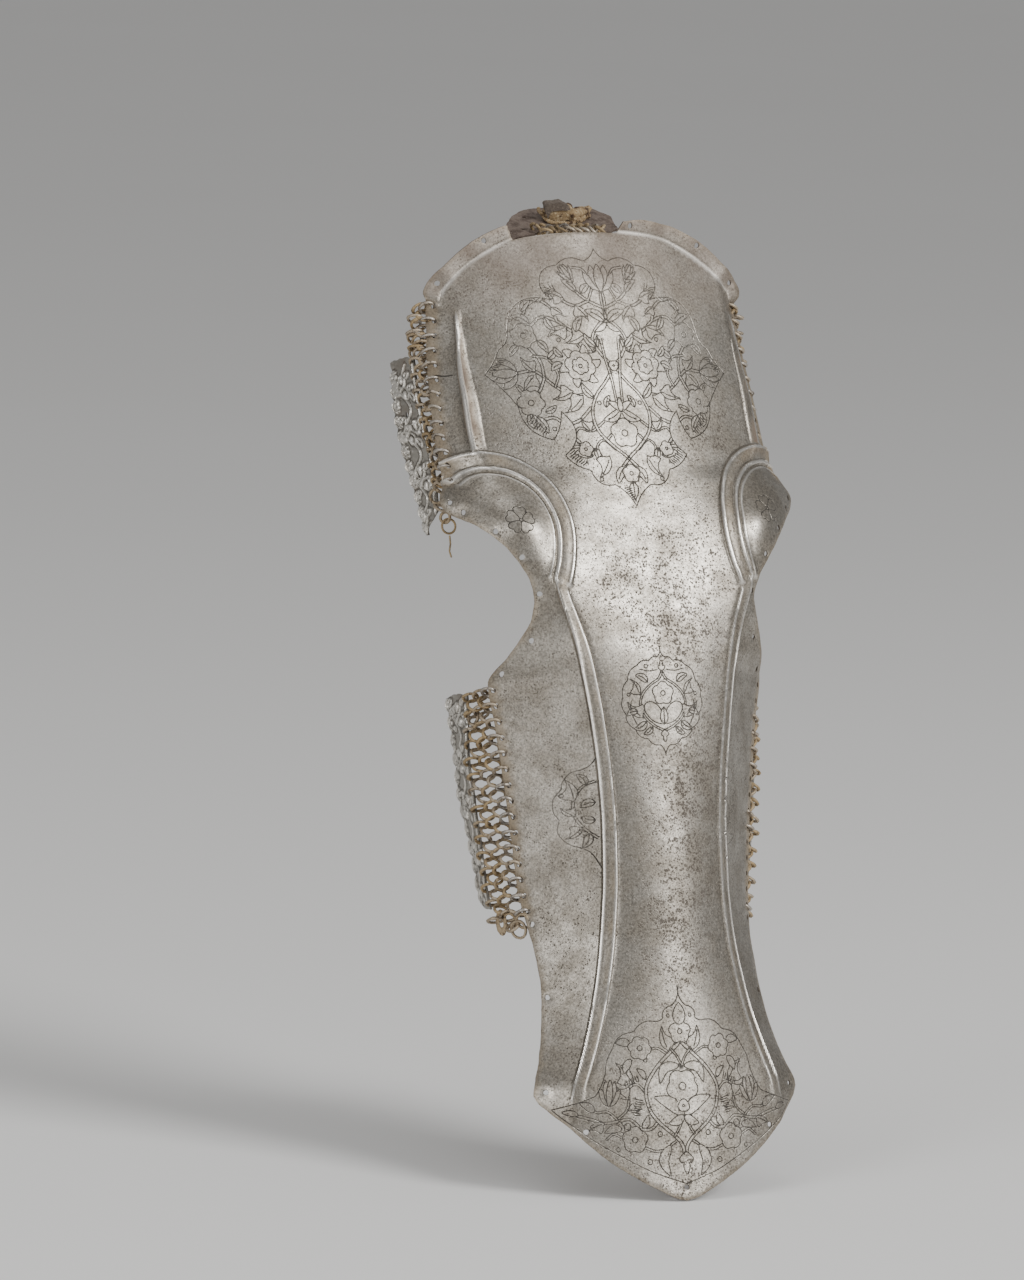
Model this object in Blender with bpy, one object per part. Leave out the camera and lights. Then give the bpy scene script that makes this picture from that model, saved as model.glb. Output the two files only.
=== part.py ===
"""A chanfron: the steel plate that covers a horse's face, with mail and embossed strips at its sides.

Shapes are worked out in millimetres in the plate's own frame: out is to the right, back is away from the
viewer and height runs up the nose from the tip. place() leans that frame back and moves the origin to the
mount on the horse's brow, in metres.
"""

import math
from collections import namedtuple

import bmesh
import bpy
from mathutils import Vector, noise
from mathutils.geometry import delaunay_2d_cdt

# Driving dimensions, in millimetres and degrees
LEAN = 12.0  # how far the nose line leans back from upright
WALL = 1.4  # thickness of the face plate
GAP = 0.4  # clearance between pieces that meet
MOUNT_HEIGHT = 520.0  # height of the brow mount on the centre line
MESH_PITCH = 9.5  # spacing of the face plate's free points
CREST_CLEARANCE = 2.4  # least distance of a crest's point from the outline and the holes
EDGE_PITCH = 8.0  # spacing of the points along its outline and ribs
HOLE_RADIUS = 1.7
HOLE_SIDES = 6
FOLD_ROUND = 3.5  # half the width over which the side fold turns

# One row for each level of the face plate. The front runs from the centre line to the fold, and the side
# from the fold to the edge, standing proud of a straight line by the bulge.
Section = namedtuple("Section", "height centre_back fold_out fold_back edge_out edge_back bulge")
SECTIONS = [
    Section(0, 0.0, 73.0, 11.5, 92.0, 25.0, 0.0),
    Section(40, 0.0, 72.5, 11.0, 92.0, 25.0, 0.0),
    Section(71, 0.0, 67.0, 8.5, 90.7, 24.6, 0.0),
    Section(85, 0.0, 61.8, 8.7, 85.8, 28.0, 0.0),
    Section(100, 0.0, 56.4, 9.5, 81.3, 31.5, 0.0),
    Section(120, 0.0, 50.5, 10.7, 77.4, 36.0, 0.0),
    Section(140, 0.0, 46.0, 11.0, 75.4, 40.0, 0.0),
    Section(160, 0.0, 42.6, 11.3, 75.6, 46.0, 0.0),
    Section(180, 0.0, 40.4, 11.0, 78.0, 52.5, 0.0),
    Section(200, 0.0, 39.0, 10.0, 80.4, 56.3, 0.0),
    Section(230, 0.0, 38.6, 8.8, 82.9, 56.5, 0.0),
    Section(260, 0.0, 40.0, 7.5, 85.9, 55.7, 0.0),
    Section(300, 0.0, 44.2, 6.4, 90.7, 55.3, 0.0),
    Section(327, 0.4, 48.3, 6.8, 94.6, 54.5, 0.0),
    Section(340, 1.5, 50.8, 7.5, 88.9, 38.5, 0.0),
    Section(352, 3.5, 53.5, 9.0, 83.0, 28.0, 0.0),
    Section(364, 6.2, 56.5, 10.5, 78.0, 21.0, 0.5),
    Section(376, 9.2, 60.0, 11.0, 76.4, 19.5, 1.0),
    Section(388, 12.3, 62.5, 11.5, 79.8, 17.5, 1.5),
    Section(400, 15.4, 64.0, 12.7, 87.3, 17.7, 2.0),
    Section(412, 18.5, 65.0, 14.5, 96.3, 23.3, 5.0),
    Section(424, 21.7, 66.5, 17.0, 107.9, 35.2, 10.0),
    Section(434, 24.3, 70.0, 21.5, 120.5, 50.5, 9.5),
    Section(440, 25.9, 73.0, 25.0, 122.3, 53.0, 7.5),
    Section(450, 28.5, 80.0, 32.0, 118.0, 57.0, 5.0),
    Section(462, 31.6, 92.0, 45.0, 114.3, 66.0, 1.5),
    Section(475, 35.0, 97.5, 53.0, 114.1, 71.8, 0.0),
    Section(505, 42.9, 97.3, 61.0, 112.8, 80.3, 0.0),
    Section(535, 50.8, 95.5, 70.5, 110.5, 88.0, 0.0),
    Section(567, 59.5, 93.5, 78.0, 107.5, 93.0, 0.0),
    Section(622, 76.5, 92.0, 96.0, 106.0, 111.0, 0.0),
]
NOSE_TOP = 388.0  # where the nose ribs meet the eye mouldings
MUZZLE_CORNER = 71.0
BROW_TOP = 567.0  # where the side edge meets the ear flange

# Corners of the outline and of the paths, as (out, height), rounded by a curve through them
MUZZLE_EDGE = [(0, 0), (7.4, 2), (20.1, 8), (34.4, 16), (47.8, 25), (60, 35), (70.4, 45), (80.2, 55), (88, 63.5)]
EYE_ARCH = [(62.3, 388), (58.6, 401), (56.7, 417), (58.5, 432), (63.2, 444), (71, 453.5), (82, 460.5),
            (97, 463.5), (108, 461), (115.5, 456)]
BROW_RIB = [(97.6, 468), (97.5, 490), (96.8, 520), (95.2, 540), (94, 556)]
EAR_FOLD = [(99, 566), (97.5, 575), (88.6, 585), (75.2, 595), (57, 604.5), (45, 608), (30, 610), (16, 611)]
EAR_EDGE = [(109.5, 571), (110.3, 576), (104.5, 585), (93, 595), (80, 605), (63, 613.5), (50, 617), (36, 619),
            (24, 618)]
RIM_MEETS_EAR = (20.0, 611.5)  # where the right flange runs out into the top rim
TOP_RIM = [(61, 603), (48, 607.5), (34, 609.5), (17, 610.8), (0, 611)]
EAR_SHORT_OUT = 55.0  # the left flange is broken off here
EAR_TILT = 0.12  # the flange leans this much forward for each millimetre out
EAR_CORNER_TILT = -0.25  # and this much back at its low corner
EAR_ROUND = 3.0
EAR_START = (565.0, 571.0)  # heights over which the flange grows out of the side edge

# Lacing holes as (out, height)
FLANK_HOLES = 15
FLANK_HOLES_SPAN = (184.0, 322.0)
FLANK_HOLE_INSET = 2.5
BROW_HOLES = 13
BROW_HOLES_SPAN = (453.5, 566.0)
BROW_HOLE_INSET = 4.0
MUZZLE_HOLES = [(84.0, 71), (73.0, 130), (63.3, 45.3), (74.8, 176)]
EYE_HOLES = [(88.5, 331.5), (77.0, 350.5), (73.5, 379), (84.3, 402), (98, 419), (112, 432.5), (117.5, 439.5)]
EAR_HOLES_RIGHT = [(102.5, 580), (77.5, 603), (29, 615)]
EAR_HOLES_LEFT = [(-101.5, 580), (-71, 606)]
TIP_HOLE = (0, 8.5)

# Cross sections of the raised work, in millimetres
NOSE_RIB_CREST = 3.9
NOSE_RIB_FOOT = 6.4
NOSE_RIB_HEIGHT = 2.4
NOSE_RIB_CHANNEL = 0.9
NOSE_RIB_SIDE = 1.45  # its outer half lies on the steep side, so it is this much narrower from the front
ROLL_OFFSET = 2.3
ROLL_HALF = 4.4
ROLL_HEIGHT = 3.6
BEAD_OFFSET = -3.9
BEAD_HALF = 1.9
BEAD_HEIGHT = 1.9
CREASE_OFFSET = -6.8
CREASE_HALF = 2.2
CREASE_DEPTH = 1.3
BROW_RIB_HALF = 4.4
BROW_RIB_HEIGHT = 2.9
RIB_FADE = 15.0  # lengths over which the raised work dies away at its ends
ARCH_FADE = 12.0
BROW_FADE = 8.0
ARCH_TOP = 480.0  # the mouldings lie below this level and further out than this
ARCH_IN = 40.0
BROW_IN = 80.0
SLOPE_STEP = 0.5  # distance over which the sheet's slope is measured

# Side strips and mail, one row for each level: the strip's inner edge and its outer edge, out and back
Band = namedtuple("Band", "height inner_out inner_back outer_out outer_back")
LOWER_BAND = [
    Band(187, 88.0, 77.0, 82.5, 103.0),
    Band(203, 91.0, 77.0, 84.6, 104.0),
    Band(217, 92.5, 76.5, 86.5, 104.0),
    Band(237, 94.5, 76.0, 90.5, 103.5),
    Band(262, 97.3, 76.0, 95.0, 103.5),
    Band(281, 98.9, 76.0, 96.4, 103.5),
    Band(322, 98.0, 76.0, 100.6, 103.5),
]
UPPER_BAND = [
    Band(423, 107.0, 88.0, 107.5, 106.0),
    Band(443, 107.0, 87.0, 111.0, 110.0),
    Band(470, 108.3, 88.0, 117.3, 112.5),
    Band(500, 111.5, 93.0, 120.5, 118.0),
    Band(519, 113.0, 97.0, 120.0, 122.0),
    Band(536, 113.5, 99.0, 118.5, 124.0),
]
LOWER_STRIP_SPAN = (187.0, 322.0)  # lowest and highest level of each strip and of each band of rings
UPPER_STRIP_SPAN = (423.0, 535.0)
UPPER_STRIP_POINT = 15.0  # the upper strip's foot narrows over this length
LOWER_MAIL_SPAN = (177.0, 323.0)
UPPER_MAIL_SPAN = (455.0, 563.0)
LOWER_MAIL_SAG = 1.5
UPPER_MAIL_SAG = 0.6
STRIP_WALL = 1.3
STRIP_BOW = 0.8
MAIL_WALL = 3.0
SCALLOP = 14.5  # length of one lobe of a strip's outer edge
SCALLOP_DEPTH = 1.8

# Poll plate: half width for each distance back along its slope
POLL_OUT = -6.0  # it hangs a little to the left
POLL_FRONT_BACK = 101.0
POLL_FRONT_HEIGHT = 615.5
POLL_SLOPE = 30.0
POLL_WALL = 1.8
POLL_HALF_WIDTHS = [(0.0, 35.0), (14.0, 40.0), (27.0, 36.0), (36.0, 24.0)]
POLL_HOLES = [(-31.0, 9.0), (-27.0, 26.0), (33.0, 10.0)]
POLL_MAIL_OUT = (-38.0, 12.0)
BLOCK_CENTRE = (9.0, 17.0)
BLOCK_HALF = (23.0, 10.5, 12.5)
RING_RADIUS = 4.6
RING_WIRE = 0.75
LOOSE_RING_CENTRE = (-104.5, 79.0, 427.0)
LOOSE_WIRE = [(-104.2, 79.0, 421.2), (-103.6, 79.6, 416.0), (-104.4, 79.8, 411.5), (-103.2, 80.0, 407.5)]
LOOSE_WIRE_RADIUS = 0.6
WIRE_SIDES = 8


def eased(value, low, high):
    """A smooth step from 0 at low to 1 at high."""
    t = min(max((value - low) / (high - low), 0.0), 1.0)
    return t * t * (3.0 - 2.0 * t)


def slopes(xs, ys):
    """Tangents of a curve through the points that never overshoots them."""
    steps = [(ys[i + 1] - ys[i]) / (xs[i + 1] - xs[i]) for i in range(len(xs) - 1)]
    inner = [0.0 if a * b <= 0.0 else 2.0 * a * b / (a + b) for a, b in zip(steps, steps[1:])]
    return [steps[0]] + inner + [steps[-1]]


class Table:
    """Rows of sizes read at any level, each column along a smooth curve."""

    def __init__(self, rows):
        self.kind = type(rows[0])
        self.levels = [row[0] for row in rows]
        self.columns = [[row[k] for row in rows] for k in range(1, len(rows[0]))]
        self.tangents = [slopes(self.levels, column) for column in self.columns]

    def at(self, level):
        levels = self.levels
        level = min(max(level, levels[0]), levels[-1])
        i = max(k for k in range(len(levels) - 1) if levels[k] <= level)
        span = levels[i + 1] - levels[i]
        t = (level - levels[i]) / span
        found = [level]
        for column, tangent in zip(self.columns, self.tangents):
            start = column[i] * (1 + 2 * t) * (1 - t) ** 2 + column[i + 1] * t * t * (3 - 2 * t)
            bend = span * (tangent[i] * t * (1 - t) ** 2 - tangent[i + 1] * t * t * (1 - t))
            found.append(start + bend)
        return self.kind(*found)


SECTION_TABLE = Table(SECTIONS)
LOWER_TABLE = Table(LOWER_BAND)
UPPER_TABLE = Table(UPPER_BAND)


def rounded(corners, pitch):
    """Points about a pitch apart along a Catmull-Rom curve through the corners."""
    points = [Vector(corner) for corner in corners]
    ends = [2 * points[0] - points[1]] + points + [2 * points[-1] - points[-2]]
    route = []
    for a, b, c, d in zip(ends, ends[1:], ends[2:], ends[3:]):
        count = max(1, round((c - b).length / pitch))
        for step in range(count):
            t = step / count
            bend = (2 * a - 5 * b + 4 * c - d) * t**2 + (3 * b - a - 3 * c + d) * t**3
            route.append(b + ((c - a) * t + bend) / 2)
    return route + [points[-1]]


ARCH_ROUTE = rounded(EYE_ARCH, 3.0)
BROW_ROUTE = rounded(BROW_RIB, 6.0)
EAR_ROUTE = rounded(EAR_FOLD, 4.0)


def beside(route, point):
    """Signed distance of a point from a route, positive on its left, and the nearest point on it."""
    best = None
    for start, end in zip(route, route[1:]):
        run = end - start
        t = min(max((point - start).dot(run) / run.length_squared, 0.0), 1.0)
        foot = start + run * t
        reach = (point - foot).length
        if best is None or reach < best[0]:
            turn = run.x * (point.y - start.y) - run.y * (point.x - start.x)
            best = (reach, math.copysign(reach, turn), foot)
    return best[1], best[2]


def hump(value, centre, half):
    """A rounded ridge one unit high."""
    t = abs(value - centre) / half
    return 0.0 if t >= 1.0 else math.cos(t * math.pi / 2) ** 2


def sheet_back(out, height):
    """How far back the plain bent sheet lies, before its raised work."""
    side = abs(out)
    row = SECTION_TABLE.at(height)
    front = row.centre_back + (row.fold_back - row.centre_back) * (side / row.fold_out) ** 2
    t = (side - row.fold_out) / (row.edge_out - row.fold_out)
    flank = row.fold_back + t * (row.edge_back - row.fold_back)
    flank -= row.bulge * math.sin(math.pi * min(max(t, 0.0), 1.0))
    share = eased(side - row.fold_out, -FOLD_ROUND, FOLD_ROUND)
    return front + (flank - front) * share


def base_back(out, height):
    """The bent sheet with its ear flanges turned up."""
    plain = sheet_back(out, height)
    if height < EAR_START[0]:
        return plain
    reach, foot = beside(EAR_ROUTE, Vector((abs(out), height)))
    beyond = -reach
    if beyond <= 0.0:
        return plain
    tilt = EAR_CORNER_TILT + (EAR_TILT - EAR_CORNER_TILT) * eased(foot.y, EAR_START[1], EAR_START[1] + 24.0)
    flange = sheet_back(foot.x, foot.y) - tilt * beyond
    return plain + (flange - plain) * eased(beyond, 0.0, EAR_ROUND) * eased(height, *EAR_START)


def relief(out, height):
    """Height of the raised work at a point: the nose ribs, eye mouldings and brow ribs."""
    side = abs(out)
    spot = Vector((side, height))
    raised = 0.0
    if MUZZLE_CORNER - RIB_FADE < height < NOSE_TOP + 4.0:
        away = side - SECTION_TABLE.at(height).fold_out
        away *= NOSE_RIB_SIDE if away > 0.0 else 1.0
        band = 1.0 - eased(abs(away), NOSE_RIB_CREST, NOSE_RIB_FOOT)
        channel = NOSE_RIB_CHANNEL * hump(away, 0.0, NOSE_RIB_CREST)
        fade = eased(height, MUZZLE_CORNER - RIB_FADE, MUZZLE_CORNER + RIB_FADE)
        fade *= 1.0 - eased(height, NOSE_TOP - 6.0, NOSE_TOP + 4.0)
        raised = (NOSE_RIB_HEIGHT * band - channel) * fade
    if EYE_ARCH[0][1] - ARCH_FADE < height < ARCH_TOP and side > ARCH_IN:
        away, _ = beside(ARCH_ROUTE, spot)
        moulding = ROLL_HEIGHT * hump(away, ROLL_OFFSET, ROLL_HALF)
        moulding += BEAD_HEIGHT * hump(away, BEAD_OFFSET, BEAD_HALF)
        moulding -= CREASE_DEPTH * hump(away, CREASE_OFFSET, CREASE_HALF)
        moulding *= eased(height, EYE_ARCH[0][1] - ARCH_FADE, EYE_ARCH[0][1])
        raised = max(raised, moulding) if moulding > 0.0 else raised + moulding
    if BROW_RIB[0][1] - BROW_FADE < height < BROW_RIB[-1][1] + BROW_FADE and side > BROW_IN:
        away, _ = beside(BROW_ROUTE, spot)
        end = 1.0 - eased(height, BROW_RIB[-1][1] - BROW_FADE, BROW_RIB[-1][1] + 2.0)
        raised = max(raised, BROW_RIB_HEIGHT * hump(away, 0.0, BROW_RIB_HALF) * end)
    return raised


def plate_point(out, height):
    """The outer face of the plate at a point, in its own frame."""
    back = base_back(out, height)
    raised = relief(out, height)
    if raised == 0.0:
        return Vector((out, back, height))
    across = (base_back(out + SLOPE_STEP, height) - base_back(out - SLOPE_STEP, height)) / (2 * SLOPE_STEP)
    along = (base_back(out, height + SLOPE_STEP) - base_back(out, height - SLOPE_STEP)) / (2 * SLOPE_STEP)
    facing = Vector((across, -1.0, along)).normalized()
    return Vector((out, back, height)) + facing * raised


LEAN_SIN = math.sin(math.radians(LEAN))
LEAN_COS = math.cos(math.radians(LEAN))
MOUNT_BACK = sheet_back(0.0, MOUNT_HEIGHT) + WALL + 0.1


def leaned(point):
    """A point of the plate's frame turned back by the lean, in millimetres."""
    out, back, height = point
    return Vector((out, back * LEAN_COS + height * LEAN_SIN, height * LEAN_COS - back * LEAN_SIN))


MOUNT_PLACE = leaned((0.0, MOUNT_BACK, MOUNT_HEIGHT))


def place(point):
    """A point of the plate's frame in the world, in metres."""
    return (leaned(point) - MOUNT_PLACE) * 0.001


def material(name, colour, roughness, metallic):
    """A plain finish for one kind of piece."""
    finish = bpy.data.materials.new(name)
    finish.use_nodes = True
    shader = finish.node_tree.nodes["Principled BSDF"]
    shader.inputs["Base Color"].default_value = (*colour, 1.0)
    shader.inputs["Roughness"].default_value = roughness
    shader.inputs["Metallic"].default_value = metallic
    return finish


def add_piece(name, bm, finish, wall=None):
    """Put a finished bmesh of the plate's frame in the scene as one named piece."""
    for vert in bm.verts:
        vert.co = place(vert.co)
    mesh = bpy.data.meshes.new(name)
    bm.to_mesh(mesh)
    bm.free()
    mesh.materials.append(finish)
    piece = bpy.data.objects.new(name, mesh)
    bpy.context.scene.collection.objects.link(piece)
    if wall:
        thick = piece.modifiers.new("wall", "SOLIDIFY")
        thick.thickness = wall * 0.001
        thick.offset = -1.0
    mesh.shade_smooth()
    mesh.set_sharp_from_angle(angle=math.radians(40))
    return piece


def ring_of(centre, radius, sides=HOLE_SIDES):
    """A small closed outline round a lacing hole."""
    angles = [2 * math.pi * (k + 0.5) / sides for k in range(sides)]
    return [Vector((centre[0] + radius * math.cos(a), centre[1] + radius * math.sin(a))) for a in angles]


def side_edge(low, high):
    """The plate's side edge between two heights, on the right."""
    count = round((high - low) / (EDGE_PITCH * 0.75))
    heights = [low + (high - low) * k / count for k in range(count + 1)]
    return [Vector((SECTION_TABLE.at(height).edge_out, height)) for height in heights]


def right_outline():
    """The right half of the outline, from the tip to the top of the centre line."""
    outline = rounded(MUZZLE_EDGE, EDGE_PITCH) + side_edge(MUZZLE_CORNER - 2.0, BROW_TOP)
    outline += rounded(EAR_EDGE, EDGE_PITCH) + [Vector(RIM_MEETS_EAR)]
    return outline + [corner for corner in map(Vector, TOP_RIM) if corner.x < RIM_MEETS_EAR[0]]


def left_outline():
    """The left half, with its flange broken off short, mirrored to the right side's sign."""
    outline = rounded(MUZZLE_EDGE, EDGE_PITCH) + side_edge(MUZZLE_CORNER - 2.0, BROW_TOP)
    outline += [point for point in rounded(EAR_EDGE, EDGE_PITCH) if point.x > EAR_SHORT_OUT]
    return outline + [Vector(corner) for corner in TOP_RIM]


def hole_centres():
    """Every lacing hole of the plate."""
    centres = [TIP_HOLE] + EAR_HOLES_RIGHT + EAR_HOLES_LEFT
    rows = [(FLANK_HOLES, FLANK_HOLES_SPAN, FLANK_HOLE_INSET), (BROW_HOLES, BROW_HOLES_SPAN, BROW_HOLE_INSET)]
    one_side = MUZZLE_HOLES + EYE_HOLES
    for count, (low, high), inset in rows:
        for k in range(count):
            height = low + (high - low) * k / (count - 1)
            one_side.append((SECTION_TABLE.at(height).edge_out - inset, height))
    for out, height in one_side:
        centres += [(out, height), (-out, height)]
    return centres


def shifted(route, away):
    """A route moved sideways, positive to its left."""
    moved = []
    for k, point in enumerate(route):
        run = route[min(k + 1, len(route) - 1)] - route[max(k - 1, 0)]
        moved.append(point + Vector((-run.y, run.x)).normalized() * away)
    return moved


def crest_lines():
    """Lines along the raised work of the right side, which the mesh's edges follow."""
    lines = []
    rib = [Vector((SECTION_TABLE.at(h).fold_out, h)) for h in range(58, 386, 9)]
    outer = (NOSE_RIB_CREST / NOSE_RIB_SIDE, NOSE_RIB_FOOT / NOSE_RIB_SIDE)
    for away in (-NOSE_RIB_FOOT, -NOSE_RIB_CREST, 0.0, *outer):
        lines.append([point + Vector((away, 0.0)) for point in rib])
    arch = rounded(EYE_ARCH, 6.5)
    for away in (ROLL_OFFSET + ROLL_HALF, ROLL_OFFSET + 1.8, ROLL_OFFSET - 1.8, -1.6, BEAD_OFFSET, CREASE_OFFSET,
                 CREASE_OFFSET - CREASE_HALF):
        lines.append(shifted(arch, away)[1:])
    brow = rounded(BROW_RIB, 9.0)
    for away in (-BROW_RIB_HALF, 0.0, BROW_RIB_HALF):
        lines.append(shifted(brow, away))
    lines.append(rounded(EAR_FOLD, 7.0))
    lines.append(shifted(rounded(EAR_FOLD, 7.0), -EAR_ROUND))
    return lines


def inside(point, outline):
    """Whether a point lies within a closed outline."""
    crossings = 0
    for a, b in zip(outline, outline[1:] + outline[:1]):
        if (a.y > point.y) != (b.y > point.y):
            crossings += point.x < a.x + (point.y - a.y) * (b.x - a.x) / (b.y - a.y)
    return crossings % 2 == 1


def clear_of(point, others, reach):
    """Whether a point keeps its distance from all the others."""
    return all((point - other).length_squared > reach * reach for other in others)


def with_holes(outline, holes):
    """The points of an outline and of its holes, and the edges that close each of them."""
    points = []
    edges = []
    for loop in [outline] + holes:
        first = len(points)
        points += loop
        edges += [(first + k, first + (k + 1) % len(loop)) for k in range(len(loop))]
    return points, edges


def add_crests(points, edges, outline):
    """Add the lines of the raised work, on both sides, where they keep clear of the outline and the holes."""
    fixed = list(points)
    for line in crest_lines():
        for sign in (1, -1):
            last = None
            for point in line:
                spot = Vector((point.x * sign, point.y))
                if not inside(spot, outline) or not clear_of(spot, fixed, CREST_CLEARANCE):
                    last = None
                    continue
                points.append(spot)
                if last is not None:
                    edges.append((last, len(points) - 1))
                last = len(points) - 1


def add_grid(points, outline):
    """Add a field of free points, staggered from row to row."""
    fixed = list(points)
    row_gap = MESH_PITCH * math.sqrt(0.75)
    half_count = round(125.0 / MESH_PITCH) + 1
    for row in range(round(622.0 / row_gap)):
        for column in range(-half_count, half_count + 1):
            spot = Vector(((column + 0.5 * (row % 2)) * MESH_PITCH, row * row_gap + 3.0))
            if inside(spot, outline) and clear_of(spot, fixed, MESH_PITCH * 0.55):
                points.append(spot)


def skin(points, edges, outline, holes, lift):
    """Triangles over flat points, left open at the holes, with each point lifted into space."""
    flat, _, faces, _, _, _ = delaunay_2d_cdt(points, edges, [], 1, 1e-5)
    bm = bmesh.new()
    verts = [bm.verts.new(lift(spot)) for spot in flat]
    for face in faces:
        middle = sum((flat[k] for k in face), Vector((0.0, 0.0))) / len(face)
        if not any(inside(middle, hole) for hole in holes) and inside(middle, outline):
            bm.faces.new([verts[k] for k in face])
    for vert in [v for v in bm.verts if not v.link_faces]:
        bm.verts.remove(vert)
    return bm


def face_plate_mesh():
    """The face plate's outer skin, triangulated round its holes and along its ribs."""
    left = [Vector((-point.x, point.y)) for point in reversed(left_outline())]
    outline = right_outline() + left[1:-1]
    holes = [ring_of(centre, HOLE_RADIUS) for centre in hole_centres()]
    points, edges = with_holes(outline, holes)
    add_crests(points, edges, outline)
    add_grid(points, outline)
    return skin(points, edges, outline, holes, lambda spot: plate_point(spot.x, spot.y))


def loft(rows):
    """A closed skin over rings of points with the same count in each, capped at both ends."""
    bm = bmesh.new()
    rings = [[bm.verts.new(point) for point in row] for row in rows]
    count = len(rings[0])
    for lower, upper in zip(rings, rings[1:]):
        for k in range(count):
            bm.faces.new((lower[k], lower[(k + 1) % count], upper[(k + 1) % count], upper[k]))
    bm.faces.new(list(reversed(rings[0])))
    bm.faces.new(rings[-1])
    bmesh.ops.recalc_face_normals(bm, faces=bm.faces)
    return bm


def slab_row(start, end, height, wall, sign, bow):
    """One level of a thin upright slab that runs from start to end, each (out, back), and bows outwards."""
    run = end - start
    square = Vector((-run.y, run.x)).normalized()
    columns = [start + run * t - square * (bow * 4 * t * (1 - t)) for t in (0.0, 0.25, 0.5, 0.75, 1.0)]
    half = square * (wall / 2)
    ring = [point + half for point in columns] + [point - half for point in reversed(columns)]
    return [Vector((point.x * sign, point.y, height)) for point in ring]


def strip_mesh(table, low, high, sign, point_low=0.0):
    """An upright strip whose outer edge runs in lobes, its foot drawn in over point_low where that is set."""
    rows = []
    count = round((high - low) / (SCALLOP / 4))
    for k in range(count + 1):
        height = low + (high - low) * k / count
        row = table.at(height)
        inner = Vector((row.inner_out, row.inner_back))
        outer = Vector((row.outer_out, row.outer_back))
        lobe = 1.0 - abs(math.sin(math.pi * (height - low) / SCALLOP))
        outer -= (outer - inner).normalized() * SCALLOP_DEPTH * lobe
        if point_low:
            waist = 0.25 + 0.75 * eased(height, low, low + point_low)
            inner = outer + (inner - outer) * waist
        rows.append(slab_row(inner, outer, height, STRIP_WALL, sign, STRIP_BOW))
    return loft(rows)


def mail_mesh(table, low, high, sign, sag):
    """The band of rings between the plate's edge and a strip, as the space the rings fill."""
    rows = []
    count = round((high - low) / 9.0)
    for k in range(count + 1):
        height = low + (high - low) * k / count
        section = SECTION_TABLE.at(height)
        row = table.at(height)
        edge = Vector((section.edge_out, section.edge_back))
        inner = Vector((row.inner_out, row.inner_back))
        run = (inner - edge).normalized()
        start = edge + run * (GAP + WALL + MAIL_WALL * 0.4)
        end = inner - run * (GAP + MAIL_WALL * 0.35)
        rows.append(slab_row(start, end, height, MAIL_WALL, sign, sag))
    return loft(rows)


def poll_point(out, along, lift):
    """A point on the poll plate: across, back along its slope and off its upper face."""
    slope = math.radians(POLL_SLOPE)
    back = POLL_FRONT_BACK + along * math.cos(slope) - lift * math.sin(slope)
    height = POLL_FRONT_HEIGHT + along * math.sin(slope) + lift * math.cos(slope)
    return Vector((out + POLL_OUT, back, height))


def poll_plate_mesh():
    """The small plate behind the top rim, triangulated round its holes."""
    right = [Vector((half, along)) for along, half in POLL_HALF_WIDTHS]
    outline = right + [Vector((-point.x, point.y)) for point in reversed(right)]
    holes = [ring_of(centre, HOLE_RADIUS) for centre in POLL_HOLES]
    points, edges = with_holes(outline, holes)
    return skin(points, edges, outline, holes, lambda spot: poll_point(spot.x, spot.y, 0.0))


def poll_block_mesh():
    """The corroded stump on the poll plate: a rough lump with a flat foot."""
    bm = bmesh.new()
    bmesh.ops.create_icosphere(bm, subdivisions=3, radius=1.0)
    for vert in bm.verts:
        rough = 1.0 + 0.16 * noise.noise(vert.co * 2.3) + 0.07 * noise.noise(vert.co * 6.0)
        square = Vector([math.copysign(abs(c) ** 0.62, c) for c in vert.co]) * rough
        out = BLOCK_CENTRE[0] + BLOCK_HALF[0] * square.x
        along = BLOCK_CENTRE[1] + BLOCK_HALF[1] * square.y
        lift = max(GAP, BLOCK_HALF[2] * square.z * (1.0 - 0.22 * square.x))
        vert.co = poll_point(out, along, lift)
    bmesh.ops.remove_doubles(bm, verts=bm.verts, dist=1e-4)
    bmesh.ops.recalc_face_normals(bm, faces=bm.faces)
    return bm


def poll_mail_mesh():
    """The short band of rings between the top rim and the poll plate."""
    start = Vector((0.0, sheet_back(0.0, 609.0) + WALL + 1.2, 609.0))
    end = poll_point(-POLL_OUT, -GAP - 1.2, 0.0)
    run = end - start
    square = Vector((0.0, -run.z, run.y)).normalized() * (MAIL_WALL / 2)
    ring = [start + square, end + square, end - square, start - square]
    steps = 7
    low, high = POLL_MAIL_OUT
    outs = [low + (high - low) * k / (steps - 1) for k in range(steps)]
    crown = [sheet_back(out, 609.0) - sheet_back(0.0, 609.0) for out in outs]
    rows = []
    for out, lag in zip(outs, crown):
        rows.append([point + Vector((out, lag * (1.0 if k in (0, 3) else 0.0), 0.0)) for k, point in enumerate(ring)])
    return loft(rows)


def loose_ring_mesh():
    """A ring of round wire that hangs edge on to the plate's side."""
    bm = bmesh.new()
    profile = bmesh.ops.create_circle(bm, segments=WIRE_SIDES, radius=RING_WIRE)
    for vert in profile["verts"]:
        vert.co = Vector((RING_RADIUS + vert.co.x, 0.0, vert.co.y))
    bmesh.ops.spin(bm, geom=list(bm.verts) + list(bm.edges), cent=(0, 0, 0), axis=(0, 0, 1), angle=2 * math.pi,
                   steps=24, use_merge=True)
    bmesh.ops.remove_doubles(bm, verts=bm.verts, dist=1e-4)
    for vert in bm.verts:
        vert.co = Vector((vert.co.x, vert.co.z, vert.co.y)) + Vector(LOOSE_RING_CENTRE)
    if bm.calc_volume(signed=True) < 0.0:
        bmesh.ops.reverse_faces(bm, faces=bm.faces)
    return bm


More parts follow.
